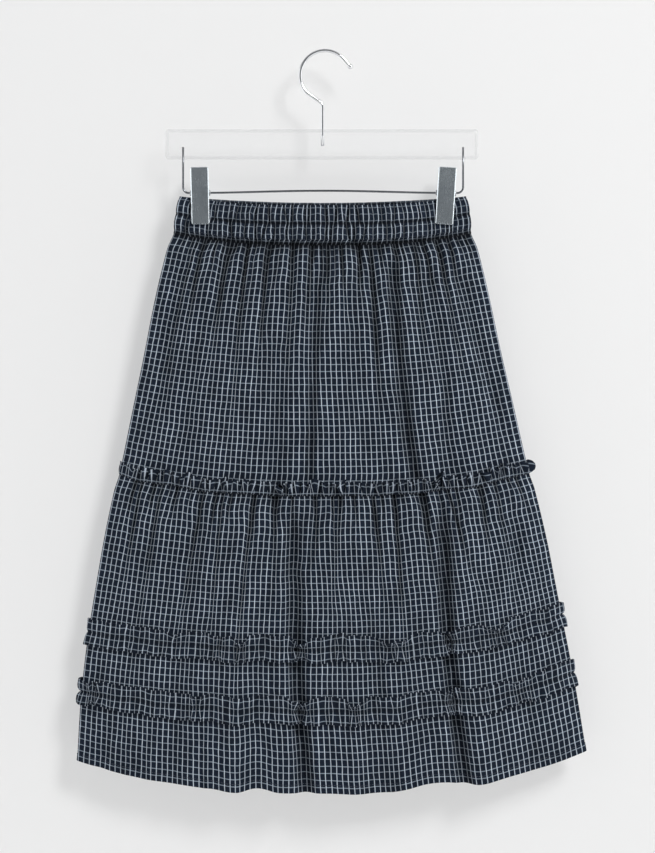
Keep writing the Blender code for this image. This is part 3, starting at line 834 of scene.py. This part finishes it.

# How each kind of trim is made. Rows are shares of its reach from the stitching, start is where
# its cut starts on the check, and stand and least are how far it stands off the cloth. shade is
# painted shade: (dark at the cloth, less for each millimetre off it, more in a crumple, more at
# an edge), and waves are (step of the seed, lengths, heights)
STYLES = {
    "frill": {
        "rows": (-0.12, 0.0, 0.15, 0.35, 0.6, 0.82, 1.0),
        "spacing": 0.95,
        "half_wide": 12.0,
        "start": -2.6,
        "stand": 0.15,
        "least": 0.1,
        "shade": (0.42, 0.16, 0.07, 0.25),
        "waves": {
            "fine": (0, (7.5, 10.5, 5.2), (1.7, 2.0, 1.0)),
            "shift": (1, (8.5, 13.0), (2.3, 2.0)),
            "edge": (2, (7.0, 12.0, 31.0), (1.5, 1.7, 1.1)),
        },
    },
    "ruffle": {
        "rows": (-1.0, -0.9, -0.72, -0.5, -0.28, -0.1, 0.0, 0.1, 0.28, 0.5, 0.72, 0.9, 1.0),
        "spacing": 1.12,
        "half_wide": 15.0,
        "start": -0.4,
        "stand": 0.45,
        "least": 0.4,
        "shade": (0.75, 0.45, 0.10, 0.4),
        "waves": {
            "fine": (0, (6.0, 8.5), (0.30, 0.30)),
            "upper": (1, (13.0, 19.0, 31.0), (0.7, 0.8, 0.5)),
            "lower": (4, (14.0, 21.0, 35.0), (0.7, 0.8, 0.5)),
            "shift": (2, (11.0, 17.0), (0.8, 0.8)),
            "edge": (3, (16.0, 27.0, 60.0), (0.5, 0.7, 0.9)),
            "knot": (11, (5.5, 8.0), (1.3, 1.3)),
        },
    },
}
WANDER = (7, (95.0, 57.0), (0.9, 0.5))
DENSITY = (9, (9.0, 16.0, 28.0), (0.25, 0.22, 0.2))

# How far a trim's free edges stand out where it turns round the left and the right side
END_STAND = {
    "heading_frill": (0.3, 3.6),
    "ruffle_upper": (1.4, 3.0),
    "ruffle_lower": (3.2, 2.2),
}
FAR_OUT, END_NEAR = 200, 5.0  # where a trim turns round a side: beyond this x, and this near in y
FLUSH_NEAR, FLUSH_SHARE = 9.0, 0.8  # how the frill lies down again at the left side
CLEAR = 0.4  # how far a trim stays off the cloth in the troughs of its waves
TUCKED_IN = -1.6  # where the frill's hidden first row lies
RING_COLUMNS = 1100
RING_OUTSIDE = 3.0  # how far outside the cloth a trim's length is measured
BRIDGE_WINDOW = 8  # columns over which a trim bridges a gather
BRIDGE_FROM, BRIDGE_RANGE = 4.0, 14.0  # distances from a side seam at which bridging sets in

# Crumples: places where a trim's edges fall in and stand off the cloth
CRUMPLE_COLUMNS = ("x", "half_width", "top_drop", "bottom_rise", "lift")
CRUMPLES = {
    ("heading_frill", "front"): (
        (-117, 10, 2.0, 0.0, 1.5),
        (-48, 14, 2.5, 0.0, 2.5),
        (-10, 10, -2.0, 0.0, 2.0),
        (128, 14, 3.0, 0.0, 3.0),
        (196, 14, -4.0, 0.0, 2.5),
    ),
    ("heading_frill", "back"): (
        (-90, 12, 2.5, 0.0, 2.5),
        (60, 14, -2.5, 0.0, 2.5),
    ),
    ("ruffle_upper", "front"): (
        (-172, 14, 3.0, 0.0, 1.0),
        (-121, 14, 5.0, -1.0, 3.0),
        (-96, 11, 7.0, 0.0, 3.5),
        (-28, 17, 10.0, 3.0, 4.0),
        (16, 14, -2.0, 0.0, 1.5),
        (78, 30, 9.0, -1.0, 1.5),
        (142, 15, 4.0, 2.0, 4.0),
        (196, 22, 7.0, 2.0, 3.0),
    ),
    ("ruffle_upper", "back"): (
        (-140, 22, 7.0, 1.0, 3.0),
        (-70, 16, 4.0, 3.0, 3.5),
        (30, 26, 6.0, 0.0, 2.0),
        (120, 18, 8.0, 2.0, 3.5),
    ),
    ("ruffle_lower", "front"): (
        (-262, 18, 1.0, 3.0, 3.5),
        (-146, 18, 3.0, 0.0, 1.5),
        (-28, 18, 7.0, 4.0, 3.5),
        (36, 16, 9.0, 0.0, 3.0),
        (140, 16, 3.0, 1.0, 3.0),
        (222, 18, 7.0, 0.0, 2.5),
    ),
    ("ruffle_lower", "back"): (
        (-180, 20, 5.0, 1.0, 2.5),
        (-20, 20, 7.0, 2.0, 3.0),
        (150, 20, 6.0, 2.0, 3.0),
    ),
}

LOOSE_SHARE, KNOT_LIFT, KNOT_FINE = 0.45, 4.0, 2.2  # how lift enlarges the waves and knots them
DENSITY_LIFT = 0.28  # how much more cloth a crumple holds
SCALLOP, SCALLOP_LONG = 0.32, 3.4


def spread(values, window):
    """The greatest value within a window each way, then smoothed."""
    padded = np.pad(values, window, mode="edge")
    widest = np.max([padded[k : k + len(values)] for k in range(2 * window + 1)], axis=0)
    weights = np.hanning(2 * window + 3)[1:-1]
    return np.convolve(np.pad(widest, window, mode="edge"), weights / weights.sum(), mode="valid")


def ring_rows(levels, spacing):
    """Rows of points round the skirt just outside it, with normals, tangents and positions."""
    level = np.array(levels, float)[:, None]
    across = columns_across(RING_COLUMNS)[None, :]
    halves, sides = [], []
    for side, sign in SIGNS.items():
        x, reach, z = skin(side, across, level)
        outermost = reach.max(axis=0)
        share = ease(((1 - np.abs(across[0])) * TYPICAL_HALF - BRIDGE_FROM) / BRIDGE_RANGE)
        bridged = np.maximum(spread(outermost, BRIDGE_WINDOW), outermost)
        reach = outermost + (bridged - outermost) * share
        half = np.stack([x, sign * reach + 0.0 * z, z])
        halves.append(half if side == "front" else half[..., ::-1])
        sides.append(np.full(across.shape[1], sign))
    xyz = np.concatenate(halves, axis=2)
    side = np.concatenate(sides)
    line = xyz[:2, len(level) // 2].T
    tangent = np.roll(line, -3, axis=0) - np.roll(line, 3, axis=0)
    for _ in range(2):
        tangent = tangent + np.roll(tangent, 2, axis=0) + np.roll(tangent, -2, axis=0)
    tangent = unit(tangent)
    normal = np.stack([tangent[:, 1], -tangent[:, 0]], -1)
    outside = line + RING_OUTSIDE * normal
    run = np.linalg.norm(np.roll(outside, -1, axis=0) - outside, axis=1)
    run = np.concatenate([[0.0], np.cumsum(run)])
    count = round(run[-1] / spacing)
    place = np.arange(count) / count * run[-1]
    index = np.interp(place, run, np.arange(len(run)))
    low = np.floor(index).astype(int) % len(line)
    high = (low + 1) % len(line)
    part = index - np.floor(index)

    def read(values):
        return values[..., low] * (1 - part) + values[..., high] * part

    x, y, z = read(xyz)
    ring = {"x": x, "y": y, "z": z, "normal": read(normal.T).T, "tangent": read(tangent.T).T}
    return ring | {"place": place, "length": run[-1], "side": side[low]}


def loop_waves(ring, seed, lengths, heights):
    """Uneven waves that meet themselves where the loop closes."""
    draw = np.random.default_rng(seed)
    angle = ring["place"] / ring["length"] * TURN
    value = np.zeros_like(angle)
    for length, height in zip(lengths, heights):
        turns = max(1, round(ring["length"] / length))
        slow, slower = max(2, round(turns / 5.3)), max(1, round(turns / 9.1))
        phase, first, second = draw.uniform(0, TURN, 3)
        bend = 1.1 * np.sin(slow * angle + first) + 0.6 * np.sin(slower * angle + second)
        swell = 0.7 + 0.45 * np.sin(slow * angle + second)
        value += height * swell * np.sin(turns * angle + phase + bend)
    return value


def crumple_sums(cad, ring):
    """Drop, rise and lift of the crumples at each place round the ring."""
    sums = np.zeros((3, len(ring["place"])))
    x = ring["x"][len(ring["x"]) // 2]
    for side, sign in SIGNS.items():
        for spot in named(CRUMPLE_COLUMNS, CRUMPLES[cad, side]):
            weight = (ring["side"] == sign) * mound(np.abs(x - spot["x"]), spot["half_width"])
            for total, key in zip(sums, ("top_drop", "bottom_rise", "lift")):
                total += spot[key] * weight
    return sums


def rolled_edge(name, points, u, v):
    """The rolled edge of a trim: a thin roll of its own cloth along the edge."""
    verts, faces = tube_mesh(points, EDGE_ROLL, EDGE_SIDES, closed=True)
    item = mesh_object(name, verts, faces, FRILL)
    mesh = item.data
    corner = np.empty(len(mesh.loops), np.int64)
    mesh.loops.foreach_get("vertex_index", corner)
    row, side = corner // EDGE_SIDES, corner % EDGE_SIDES
    last_span = np.arange(len(corner)) // 4 >= len(faces) - EDGE_SIDES
    along = u[np.where(last_span & (row == 0), len(points), row)]
    place = np.stack([along, v + EDGE_STEP * side], -1)
    layer = mesh.uv_layers.new(name="cloth")
    layer.data.foreach_set("uv", (place * MM).astype(np.float32).ravel())
    return item


def build_trim(kind):
    """A gathered strip sewn round the skirt, with waves that grow towards its free edges."""
    cad, seed, style = kind["cad"], kind["seed"], STYLES[kind["style"]]
    frill = kind["style"] == "frill"
    span = np.array(style["rows"])[:, None]
    ring = ring_rows(kind["middle"] - span[:, 0] * (kind["middle"] - kind["top"]), style["spacing"])
    drop, rise, lift = crumple_sums(cad, ring)
    loose, knotted = 1 + LOOSE_SHARE * lift, np.clip(lift / KNOT_LIFT, 0.0, 1.0)
    made = {}
    for key, (step, lengths, heights) in (style["waves"] | {"wander": WANDER, "density": DENSITY}).items():
        made[key] = loop_waves(ring, seed + step, lengths, heights)
    size = np.clip(span, 0.0, 1.0) if frill else np.abs(span)
    if frill:
        fine = coarse = made["fine"] * loose
    else:
        fine = made["fine"] * (1 + KNOT_FINE * knotted)
        coarse = np.where(span > 0, made["upper"], made["lower"]) * loose
    wave = coarse * size**1.3 + fine * np.sin(math.pi * np.clip(size, 0.08, 1.0)) ** 0.5
    off = style["stand"] + 1.15 * np.sqrt(size) + (0.7 + lift) * size**2 + wave - CLEAR
    off = style["least"] + 0.5 * (off + np.sqrt(off**2 + CLEAR**2)) * np.clip(size * 4, 0, 1)
    x, y = ring["x"][0], ring["y"][0]
    far_out = np.abs(x) > FAR_OUT
    if frill:
        flush = far_out * (x < 0) * np.exp(-((y / FLUSH_NEAR) ** 2))
        off = off - FLUSH_SHARE * flush * (off - CLEAR) * (off > CLEAR)
        off[0] = TUCKED_IN
    stick_out = far_out * np.exp(-((y / END_NEAR) ** 2)) * np.where(x < 0, *END_STAND[cad])
    off = off + stick_out * np.sin(math.pi * 0.75 * size**0.6)
    edge, slide = made["edge"] * loose, made["shift"] * loose * size**1.2
    scallop = SCALLOP * np.abs(np.sin(ring["place"] * math.pi / SCALLOP_LONG)) * size**6
    up = np.where(span > 0, edge - drop, edge * 0.8 + rise) * size**1.2
    up = up + made["wander"] + scallop * np.sign(span)
    if not frill:
        up = up + knotted * made["knot"] * size
    flat = np.stack([ring["x"], ring["y"]], -1)
    flat = flat + ring["normal"] * off[..., None] + ring["tangent"] * slide[..., None]
    points = np.concatenate([flat, (ring["z"] + up)[..., None]], -1)
    density = 1 + np.clip(made["density"], -0.5, 0.8) + DENSITY_LIFT * np.clip(lift, 0.0, KNOT_LIFT)
    run = np.concatenate([[0.0], np.cumsum(density)])
    u = run / run[-1] * round(TRIM_CUT / CHECK_ACROSS) * CHECK_ACROSS
    v = -span * style["half_wide"] + style["start"]
    uv = np.stack(np.broadcast_arrays(u, v), -1)
    # Painted shade: darker near the stitching, less for each millimetre off the cloth, more in crumples and
    # towards the free edges.
    shaded, faded, crumpled, edged = style["shade"]
    depth = np.clip(shaded - faded * off, 0.0, 0.8) + crumpled * lift + edged * ease((size - 0.7) / 0.3)
    cloth = grid_object(f"{cad}_cloth", points, uv, depth, FRILL, ring=True, thick=TRIM_THICK)
    edges = [rolled_edge(f"{cad}_top_edge", points[-1], u, v[-1, 0])]
    if not frill:
        edges.append(rolled_edge(f"{cad}_bottom_edge", points[0], u, v[0, 0]))
    return cloth, edges, points, ring


RIDGES = {}
for kind in named(TRIM_COLUMNS, TRIMS):
    piece, edges, rows, ring = build_trim(kind)
    RIDGES[kind["cad"]] = (rows, ring)
    for item in [piece] + edges:
        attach(item, "root")
    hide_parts(kind["cad"])
    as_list(edges)

# ------------------------------------------------------------------ stitching

STITCH_LEVELS = (0.075, 0.5, 0.93)
HEM_STITCH = 2.974
STITCH_PITCH, STITCH_SHARE, STITCH_RADIUS = 3.1, 0.72, 0.24
STITCH_LIFT, TRIM_STITCH_LIFT = 0.12, 0.15
STITCH_SIDES = 5
STITCH_RINGS = ((-1.0, 0.35), (-0.72, 1.0), (0.72, 1.0), (1.0, 0.35))


def stitch_rows(name, lines, material):
    """Stitches, each a short capsule, along lines of points with outward normals, as one piece."""
    sides = STITCH_SIDES
    angle = np.arange(sides) / sides * TURN
    rings = [(x, size * math.cos(a), size * math.sin(a)) for x, size in STITCH_RINGS for a in angle]
    template = np.array(rings)
    pattern = []
    for start in range(0, 3 * sides, sides):
        for side in range(sides):
            a, b = start + side, start + (side + 1) % sides
            pattern.append((a, b, b + sides, a + sides))
    pattern += [tuple(range(sides))[::-1], tuple(range(3 * sides, 4 * sides))]
    verts = []
    for points, normals in lines:
        run = np.concatenate([[0.0], np.cumsum(np.linalg.norm(np.diff(points, axis=0), axis=1))])
        starts = np.arange(STITCH_PITCH / 2, run[-1] - STITCH_PITCH / 2, STITCH_PITCH)

        def read(places, values):
            return np.stack([np.interp(places, run, column) for column in values.T], -1)

        first, last = read(starts, points), read(starts + STITCH_PITCH * STITCH_SHARE, points)
        along, out = unit(last - first), read(starts, normals)
        out = unit(out - along * np.sum(out * along, axis=1)[:, None])
        half = (last - first) / 2
        axes = np.stack([half, out * STITCH_RADIUS, np.cross(along, out) * STITCH_RADIUS], 1)
        verts.append(((first + last) / 2)[:, None] + template @ axes)
    verts = np.concatenate(verts)
    faces = [[base + corner for corner in face] for base in range(0, verts[..., 0].size, len(template))
             for face in pattern]
    return mesh_object(name, verts.reshape(-1, 3), faces, material)


def skin_line(side, level, shape=None):
    """A line across one side of the skirt, just off the cloth, with its normals."""
    sign = SIGNS[side]
    across, down = np.linspace(-0.985, 0.985, 700)[None, :], np.array([[level]])
    x, reach, z = skin(side, across, down)
    if shape is not None:
        reach = reach + shape(side, x, across, down)[0]
    x, reach, z = x[0], reach[0], z[0]
    normals = unit(np.stack([-np.gradient(reach, x), np.full(len(x), float(sign)), 0 * x], -1))
    return np.stack([x, sign * reach, z], -1) + normals * STITCH_LIFT, normals


lines = []
for side in ("front", "back"):
    lines += [skin_line(side, level, band_shape) for level in STITCH_LEVELS]
    lines.append(skin_line(side, HEM_STITCH))
for cad, row in (("ruffle_upper", 6), ("ruffle_lower", 6), ("heading_frill", 2)):
    rows, ring = RIDGES[cad]
    normals = np.concatenate([ring["normal"], np.zeros((len(rows[row]), 1))], axis=1)
    lines.append((rows[row] + normals * TRIM_STITCH_LIFT, normals))
stitching = stitch_rows("stitching", lines, THREAD_NAVY)
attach(stitching, "root")

# ------------------------------------------------------------------ hanger

BAR_LEFT, BAR_RIGHT = -181.7, 174.3
BAR_TOP, BAR_BOTTOM = -87.6, -122.0
BAR_THICK, BAR_EDGE = 9.0, 3.8
HOOK_WIRE, HOOK_RADIUS, HOOK_Z = 4.0, 28.4, -26.4
STEM_X, STEM_HEIGHTS = -2.8, (-106.6, -90.0, -75.0)
KINK_Z, KINK_RADIUS = -58.3, 4.0
ARC_START, ARC_END = 225.0, 40.0
TAIL, TIP_RADIUS = 10.5, 3.0
ROD_WIRE = 2.4
ROD_LEFT, ROD_RIGHT = -161.5, 157.0
ROD_TOP, ROD_UPRIGHT, ROD_Z = -108.0, -130.0, -160.1
ROD_BEND, ROD_BOW = 6.5, 2.6
CLIPS = (("left", -142.1, -1.1), ("right", 137.5, 3.4))
CLIP_WIDTHS = {"front": 20.4, "back": 17.6}
CLIP_METAL, CLIP_CORNER, CLIP_ROUND, END_CHAMFER = 1.0, 1.5, 1.3, 0.7
PLATE_COLUMNS = ("height", "face_y", "web", "flange")
PLATE = (
    (28.5, 10.2, 1.0, 1.0),
    (27.0, 10.1, 1.0, 2.4),
    (6.0, 7.9, 1.0, 2.4),
    (4.2, 7.8, 1.0, 10.4),
    (-3.6, 7.3, 1.0, 10.4),
    (-5.4, 7.2, 1.0, 2.2),
    (-34.0, 5.35, 1.0, 2.25),
    (-34.9, 5.3, 2.2, 2.25),
    (-36.2, 5.25, 2.2, 2.2),
)
PLATE_HEIGHTS = ((28.5, 26.6, 6), (26.0, 7.0, 8), (6.4, 3.8, 6), (0.3, 0.3, 1), (-3.2, -5.8, 6),
                 (-8.0, -33.0, 8), (-33.9, -36.2, 8))  # rows of points: from, to, count
EAR = ((-0.6, 2.2), (0.0, 2.9), (0.35, 3.2), (1.2, 3.2), (1.6, 2.7), (1.9, 1.9))
SPRING_WIRE, SPRING_RADIUS = 1.0, 2.6
SPRING_TURNS, SPRING_LENGTH, SPRING_LEG = 4.5, 9.0, 15.0
SPRING_GRIP = 6.9


def build_bar():
    size = Vector((BAR_RIGHT - BAR_LEFT, BAR_THICK, BAR_TOP - BAR_BOTTOM)) * MM
    middle = Vector(((BAR_LEFT + BAR_RIGHT) / 2, 0.0, (BAR_TOP + BAR_BOTTOM) / 2)) * MM
    edit = bmesh.new()
    bmesh.ops.create_cube(edit, size=1.0, matrix=Matrix.Translation(middle) @ Matrix.Diagonal((*size, 1.0)))
    bmesh.ops.bevel(
        edit, geom=edit.edges[:], offset=BAR_EDGE * MM, segments=3, profile=0.5, affect="EDGES"
    )
    for face in edit.faces:
        # The bevel faces take the darker acrylic copy, painted shade for the lines refraction draws at the
        # edges.
        face.material_index = 0 if face.calc_area() > 0.5 * size.x * size.z else 1
        face.smooth = False
    mesh = bpy.data.meshes.new("hanger_bar_clear")
    edit.to_mesh(mesh)
    edit.free()
    mesh.materials.append(ACRYLIC)
    mesh.materials.append(ACRYLIC_EDGE)
    return place_in_scene("hanger_bar_clear", mesh)


def arc_points(x, z, radius, start, end, steps):
    angles = np.radians(np.linspace(start, end, steps))
    return [(x + radius * math.cos(a), 0.0, z + radius * math.sin(a)) for a in angles]


def between(first, last, shares):
    """Points on the straight line between two."""
    first, last = np.array(first), np.array(last)
    return [tuple(first + (last - first) * share) for share in shares]


def hook_points():
    arc = arc_points(0.0, HOOK_Z, HOOK_RADIUS, ARC_START, ARC_END, 72)
    stem = [(STEM_X, 0.0, height) for height in STEM_HEIGHTS]
    corner = np.array((STEM_X, 0.0, KINK_Z))
    before = corner + (0.0, 0.0, -KINK_RADIUS)
    after = corner + unit(np.array(arc[0]) - corner) * KINK_RADIUS
    bend = []
    for t in np.linspace(0.0, 1.0, 10):
        bend.append(tuple((1 - t) ** 2 * before + 2 * t * (1 - t) * corner + t * t * after))
    turn = math.radians(ARC_END)
    end = np.array(arc[-1]) + np.array((math.sin(turn), 0.0, -math.cos(turn))) * TAIL
    return stem + bend + arc + between(arc[-1], end, (0.25, 0.5, 0.75, 1.0))


def wire_points():
    left, right, low = ROD_LEFT + ROD_BEND, ROD_RIGHT - ROD_BEND, ROD_Z + ROD_BEND
    points = [(ROD_LEFT, 0.0, ROD_TOP), (ROD_LEFT, 0.0, ROD_UPRIGHT)]
    points += arc_points(left, low, ROD_BEND, 180.0, 270.0, 12)
    for share in np.linspace(0.0, 1.0, 42)[1:-1]:
        rise = ROD_BOW * math.sin(math.pi * share) ** 2
        points.append((left + (right - left) * share, 0.0, ROD_Z + rise))
    points += arc_points(right, low, ROD_BEND, 270.0, 360.0, 12)
    return points + [(ROD_RIGHT, 0.0, ROD_UPRIGHT), (ROD_RIGHT, 0.0, ROD_TOP)]


def ball(centre, radius):
    """Rings of a ball as a tube along z, to join to other tubes."""
    angles = np.linspace(-0.48, 0.48, 13) * math.pi
    points = [(centre[0], centre[1], centre[2] + radius * math.sin(a)) for a in angles]
    return points, radius, 20, [radius * math.cos(a) for a in angles]


def rounded_channel(half, top, edge, small, rise):
    """Half a plate's outline each side: up one side, round its corners and down the other."""
    turns = np.radians((0.0, 6.0, 14.0, 76.0, 84.0, 90.0))
    right = [(half - small + small * math.cos(a), top - rise + rise * math.sin(a)) for a in turns]
    return [(half, edge)] + right + [(-x, y) for x, y in right[::-1]] + [(-half, edge)]


def plate_ring(width, face, web, flange, cut):
    """Outer and inner paths of a channel with rounded corners, at one height."""
    half, deep = width / 2 - cut, max(flange, web)
    edge, radius = face - deep, min(CLIP_CORNER, deep * 0.85)
    small, inner_face = max(radius - CLIP_METAL, 0.15), face - web
    rise = inner_face - max(inner_face - small, edge + 0.001)
    outer = rounded_channel(half, face, edge, radius, radius)
    return outer, rounded_channel(half - CLIP_METAL, inner_face, edge, small, rise)


def clip_pose(x, lean):
    return Matrix.Translation((x, 0.0, ROD_Z)) @ Matrix.Rotation(math.radians(lean), 4, "Y")


def build_plate(name, side, x, lean):
    table = dict(zip(PLATE_COLUMNS, np.array(PLATE)[::-1].T))
    top, foot = table["height"][-1], table["height"][0]
    heights = np.concatenate([np.linspace(*part) for part in PLATE_HEIGHTS])
    pose = clip_pose(x, lean)
    verts, faces = [], []
    for height in heights:
        face_y, web, flange = (np.interp(height, table["height"], table[key]) for key in PLATE_COLUMNS[1:])
        near_end = min(top - height, height - foot)
        rounded = 1 - min(near_end / CLIP_ROUND, 1.0)
        cut = CLIP_ROUND * (1 - math.sqrt(max(0.0, 1 - rounded**2)))
        face_y = face_y - END_CHAMFER * (1 - min(near_end / END_CHAMFER, 1.0))
        outer, inner = plate_ring(CLIP_WIDTHS[side], face_y, web, flange, cut)
        verts += [tuple(pose @ Vector((px, SIGNS[side] * py, height))) for px, py in outer + inner[::-1]]
    around = len(outer) * 2
    for start in range(0, (len(heights) - 1) * around, around):
        for corner in range(around):
            a, b = start + corner, start + (corner + 1) % around
            faces.append((a, b, b + around, a + around))
    for base in (0, (len(heights) - 1) * around):
        for corner in range(len(outer) - 1):
            far = around - 1 - corner
            faces.append((base + corner, base + corner + 1, base + far - 1, base + far))
    item = mesh_object(name, verts, faces, CHROME_PLATE)
    item.data.set_sharp_from_angle(angle=math.radians(35))
    return item


def build_ears(name, x, lean):
    """Round knobs at each end of the clip's hinge, on the line of the rod."""
    pose, start = clip_pose(x, lean), CLIP_WIDTHS["front"] / 2 - 0.3
    lines = []
    for hand in (-1, 1):
        points = [tuple(pose @ Vector((hand * (start + along), 0.0, 0.0))) for along, _ in EAR]
        lines.append((points, 1.0, 20, [radius for _, radius in EAR]))
    return joined_tubes(name, lines, DARK_STEEL)


def spring_points(x):
    steps = 20
    total = round(SPRING_TURNS * steps)
    coil = []
    for index in range(total + 1):
        turn = TURN * index / steps
        along = SPRING_LENGTH * (index / total - 0.5)
        y, z = -SPRING_RADIUS * math.cos(turn), SPRING_RADIUS * math.sin(turn)
        coil.append((x + along, y, ROD_Z + z))
    first = (x - SPRING_LENGTH / 2, -SPRING_GRIP, ROD_Z + SPRING_LEG)
    last = (x + SPRING_LENGTH / 2, SPRING_GRIP, ROD_Z + SPRING_LEG)
    start = between(first, coil[0], (0.0, 0.3, 0.6, 0.85))
    return start + coil + between(coil[-1], last, (0.15, 0.4, 0.7, 1.0))


def add_piece(item, cad):
    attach(item, "root")
    if cad:
        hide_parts(cad)


add_piece(build_bar(), "hanger_bar")
hook = hook_points()
hook_lines = [(hook, HOOK_WIRE / 2, 24, None), ball(hook[-1], TIP_RADIUS)]
add_piece(joined_tubes("hook_wire", hook_lines, CHROME_WIRE), "hanger_hook")
rod_lines = [(wire_points(), ROD_WIRE / 2, 16, None)]
add_piece(joined_tubes("rod_wire", rod_lines, CHROME_ROD_SHADED), "hanger_wire")
for name, x, lean in CLIPS:
    for side in ("front", "back"):
        plate = build_plate(f"clip_{name}_{side}_plate", side, x, lean)
        add_piece(plate, f"clip_{name}_{side}")
    add_piece(build_ears(f"clip_{name}_ears", x, lean), None)
    spring_lines = [(spring_points(x), SPRING_WIRE / 2, 10, None)]
    add_piece(joined_tubes(f"clip_{name}_coil", spring_lines, DARK_STEEL), f"clip_{name}_spring")

# ------------------------------------------------------------------ stage, light and camera

STAGE_WIDE, STAGE_HIGH, STAGE_DEEP = 4.0, 3.0, 5.0
WALL_Y, FLOOR_Z = 0.0335, -1.65
LIGHT_COLUMNS = ("place", "aim_z", "size", "power")
LIGHTS = {
    "key": ((2.15, -3.0, 2.2), -0.45, (1.1, 1.4), 142.0),
    "fill": ((-2.2, -2.6, 0.2), -0.45, (2.4, 2.4), 7.0),
    "strip_right": ((2.6, -0.35, -0.2), -0.3, (1.4, 2.6), 24.0),
    "strip_left": ((-2.6, -0.4, -0.2), -0.3, (1.4, 2.6), 20.0),
    "behind_right": ((-1.6, 2.2, 0.8), -0.45, (1.4, 1.6), 60.0),
    "behind_left": ((1.8, 2.4, 0.2), -0.45, (1.8, 1.8), 18.0),
}
ROOM_FRONT, ROOM_BACK = (0.40, 0.42, 0.44), (1.0, 1.0, 1.0)
ROOM_STRENGTH, ROOM_SEEN = 0.40, (1.5, 1.5, 1.5)
EYE_FAR = 2.6
VIEW_HIGH = 0.9703  # height of the view at the hanger's plane
VIEW_X, VIEW_Z = 0.0028, -0.4257


def stage_plane(name, nodes, places, lets_light_by):
    """A stage surface that shows from its front only, so that it never hides the object."""
    back = nodes.add("ShaderNodeNewGeometry").outputs["Backfacing"]
    if lets_light_by:
        back = nodes.maths("MAXIMUM", back, nodes.add("ShaderNodeLightPath").outputs["Is Shadow Ray"])
    clear = nodes.add("ShaderNodeBsdfTransparent").outputs[0]
    mix = nodes.add("ShaderNodeMixShader", {0: back, 1: nodes.shader.outputs[0], 2: clear})
    nodes.put(nodes.tree.nodes["Material Output"], {"Surface": mix.outputs[0]})
    mesh = bpy.data.meshes.new(name)
    mesh.from_pydata(places, [], [(0, 1, 2, 3)])
    mesh.materials.append(nodes.owner)
    place_in_scene(name, mesh)


def build_stage():
    white = {"Emission_Color": (1.0, 1.0, 1.0), "Emission_Strength": 0.41}
    paint = new_surface("stage_wall", Base_Color=(0.40, 0.40, 0.40), Roughness=0.9, **white)
    ends = ((-STAGE_WIDE, 0), (STAGE_WIDE, 0), (STAGE_WIDE, 1), (-STAGE_WIDE, 1))
    wall = [(x, WALL_Y, (FLOOR_Z, STAGE_HIGH)[far]) for x, far in ends]
    stage_plane("backdrop", paint, wall, True)
    paint = new_surface("stage_floor", Base_Color=(0.78, 0.78, 0.78), Roughness=0.9)
    floor = [(x, (-STAGE_DEEP, STAGE_DEEP)[far], FLOOR_Z) for x, far in ends]
    stage_plane("floor", paint, floor, False)


def build_lights():
    world = bpy.data.worlds.new("studio")
    nodes = Nodes(world, "Background")
    place = nodes.add("ShaderNodeTexCoord").outputs["Generated"]
    toward = nodes.add("ShaderNodeSeparateXYZ", {0: place}).outputs[1]
    room = nodes.blend(nodes.fade(toward, -0.95, -0.55), ROOM_FRONT, ROOM_BACK)
    seen = nodes.add("ShaderNodeLightPath").outputs["Is Camera Ray"]
    colour = nodes.blend(seen, room, ROOM_SEEN)
    nodes.put(nodes.shader, {"Color": colour, "Strength": ROOM_STRENGTH})
    bpy.context.scene.world = world
    for name, values in LIGHTS.items():
        light = dict(zip(LIGHT_COLUMNS, values))
        data = bpy.data.lights.new(name, "AREA")
        data.shape = "RECTANGLE"
        data.size, data.size_y = light["size"]
        data.energy = light["power"]
        item = place_in_scene(name, data)
        item.location = light["place"]
        toward = Vector((0.0, 0.0, light["aim_z"])) - Vector(light["place"])
        item.rotation_euler = toward.to_track_quat("-Z", "Y").to_euler()


def build_camera():
    data = bpy.data.cameras.new("eye")
    data.sensor_width = 36.0
    data.lens = data.sensor_width * EYE_FAR / VIEW_HIGH
    item = place_in_scene("eye", data)
    item.location = (VIEW_X, -EYE_FAR, VIEW_Z)
    item.rotation_euler = (math.pi / 2, 0.0, 0.0)
    bpy.context.scene.camera = item


build_stage()
build_lights()
build_camera()
bpy.context.scene.view_settings.view_transform = "Standard"
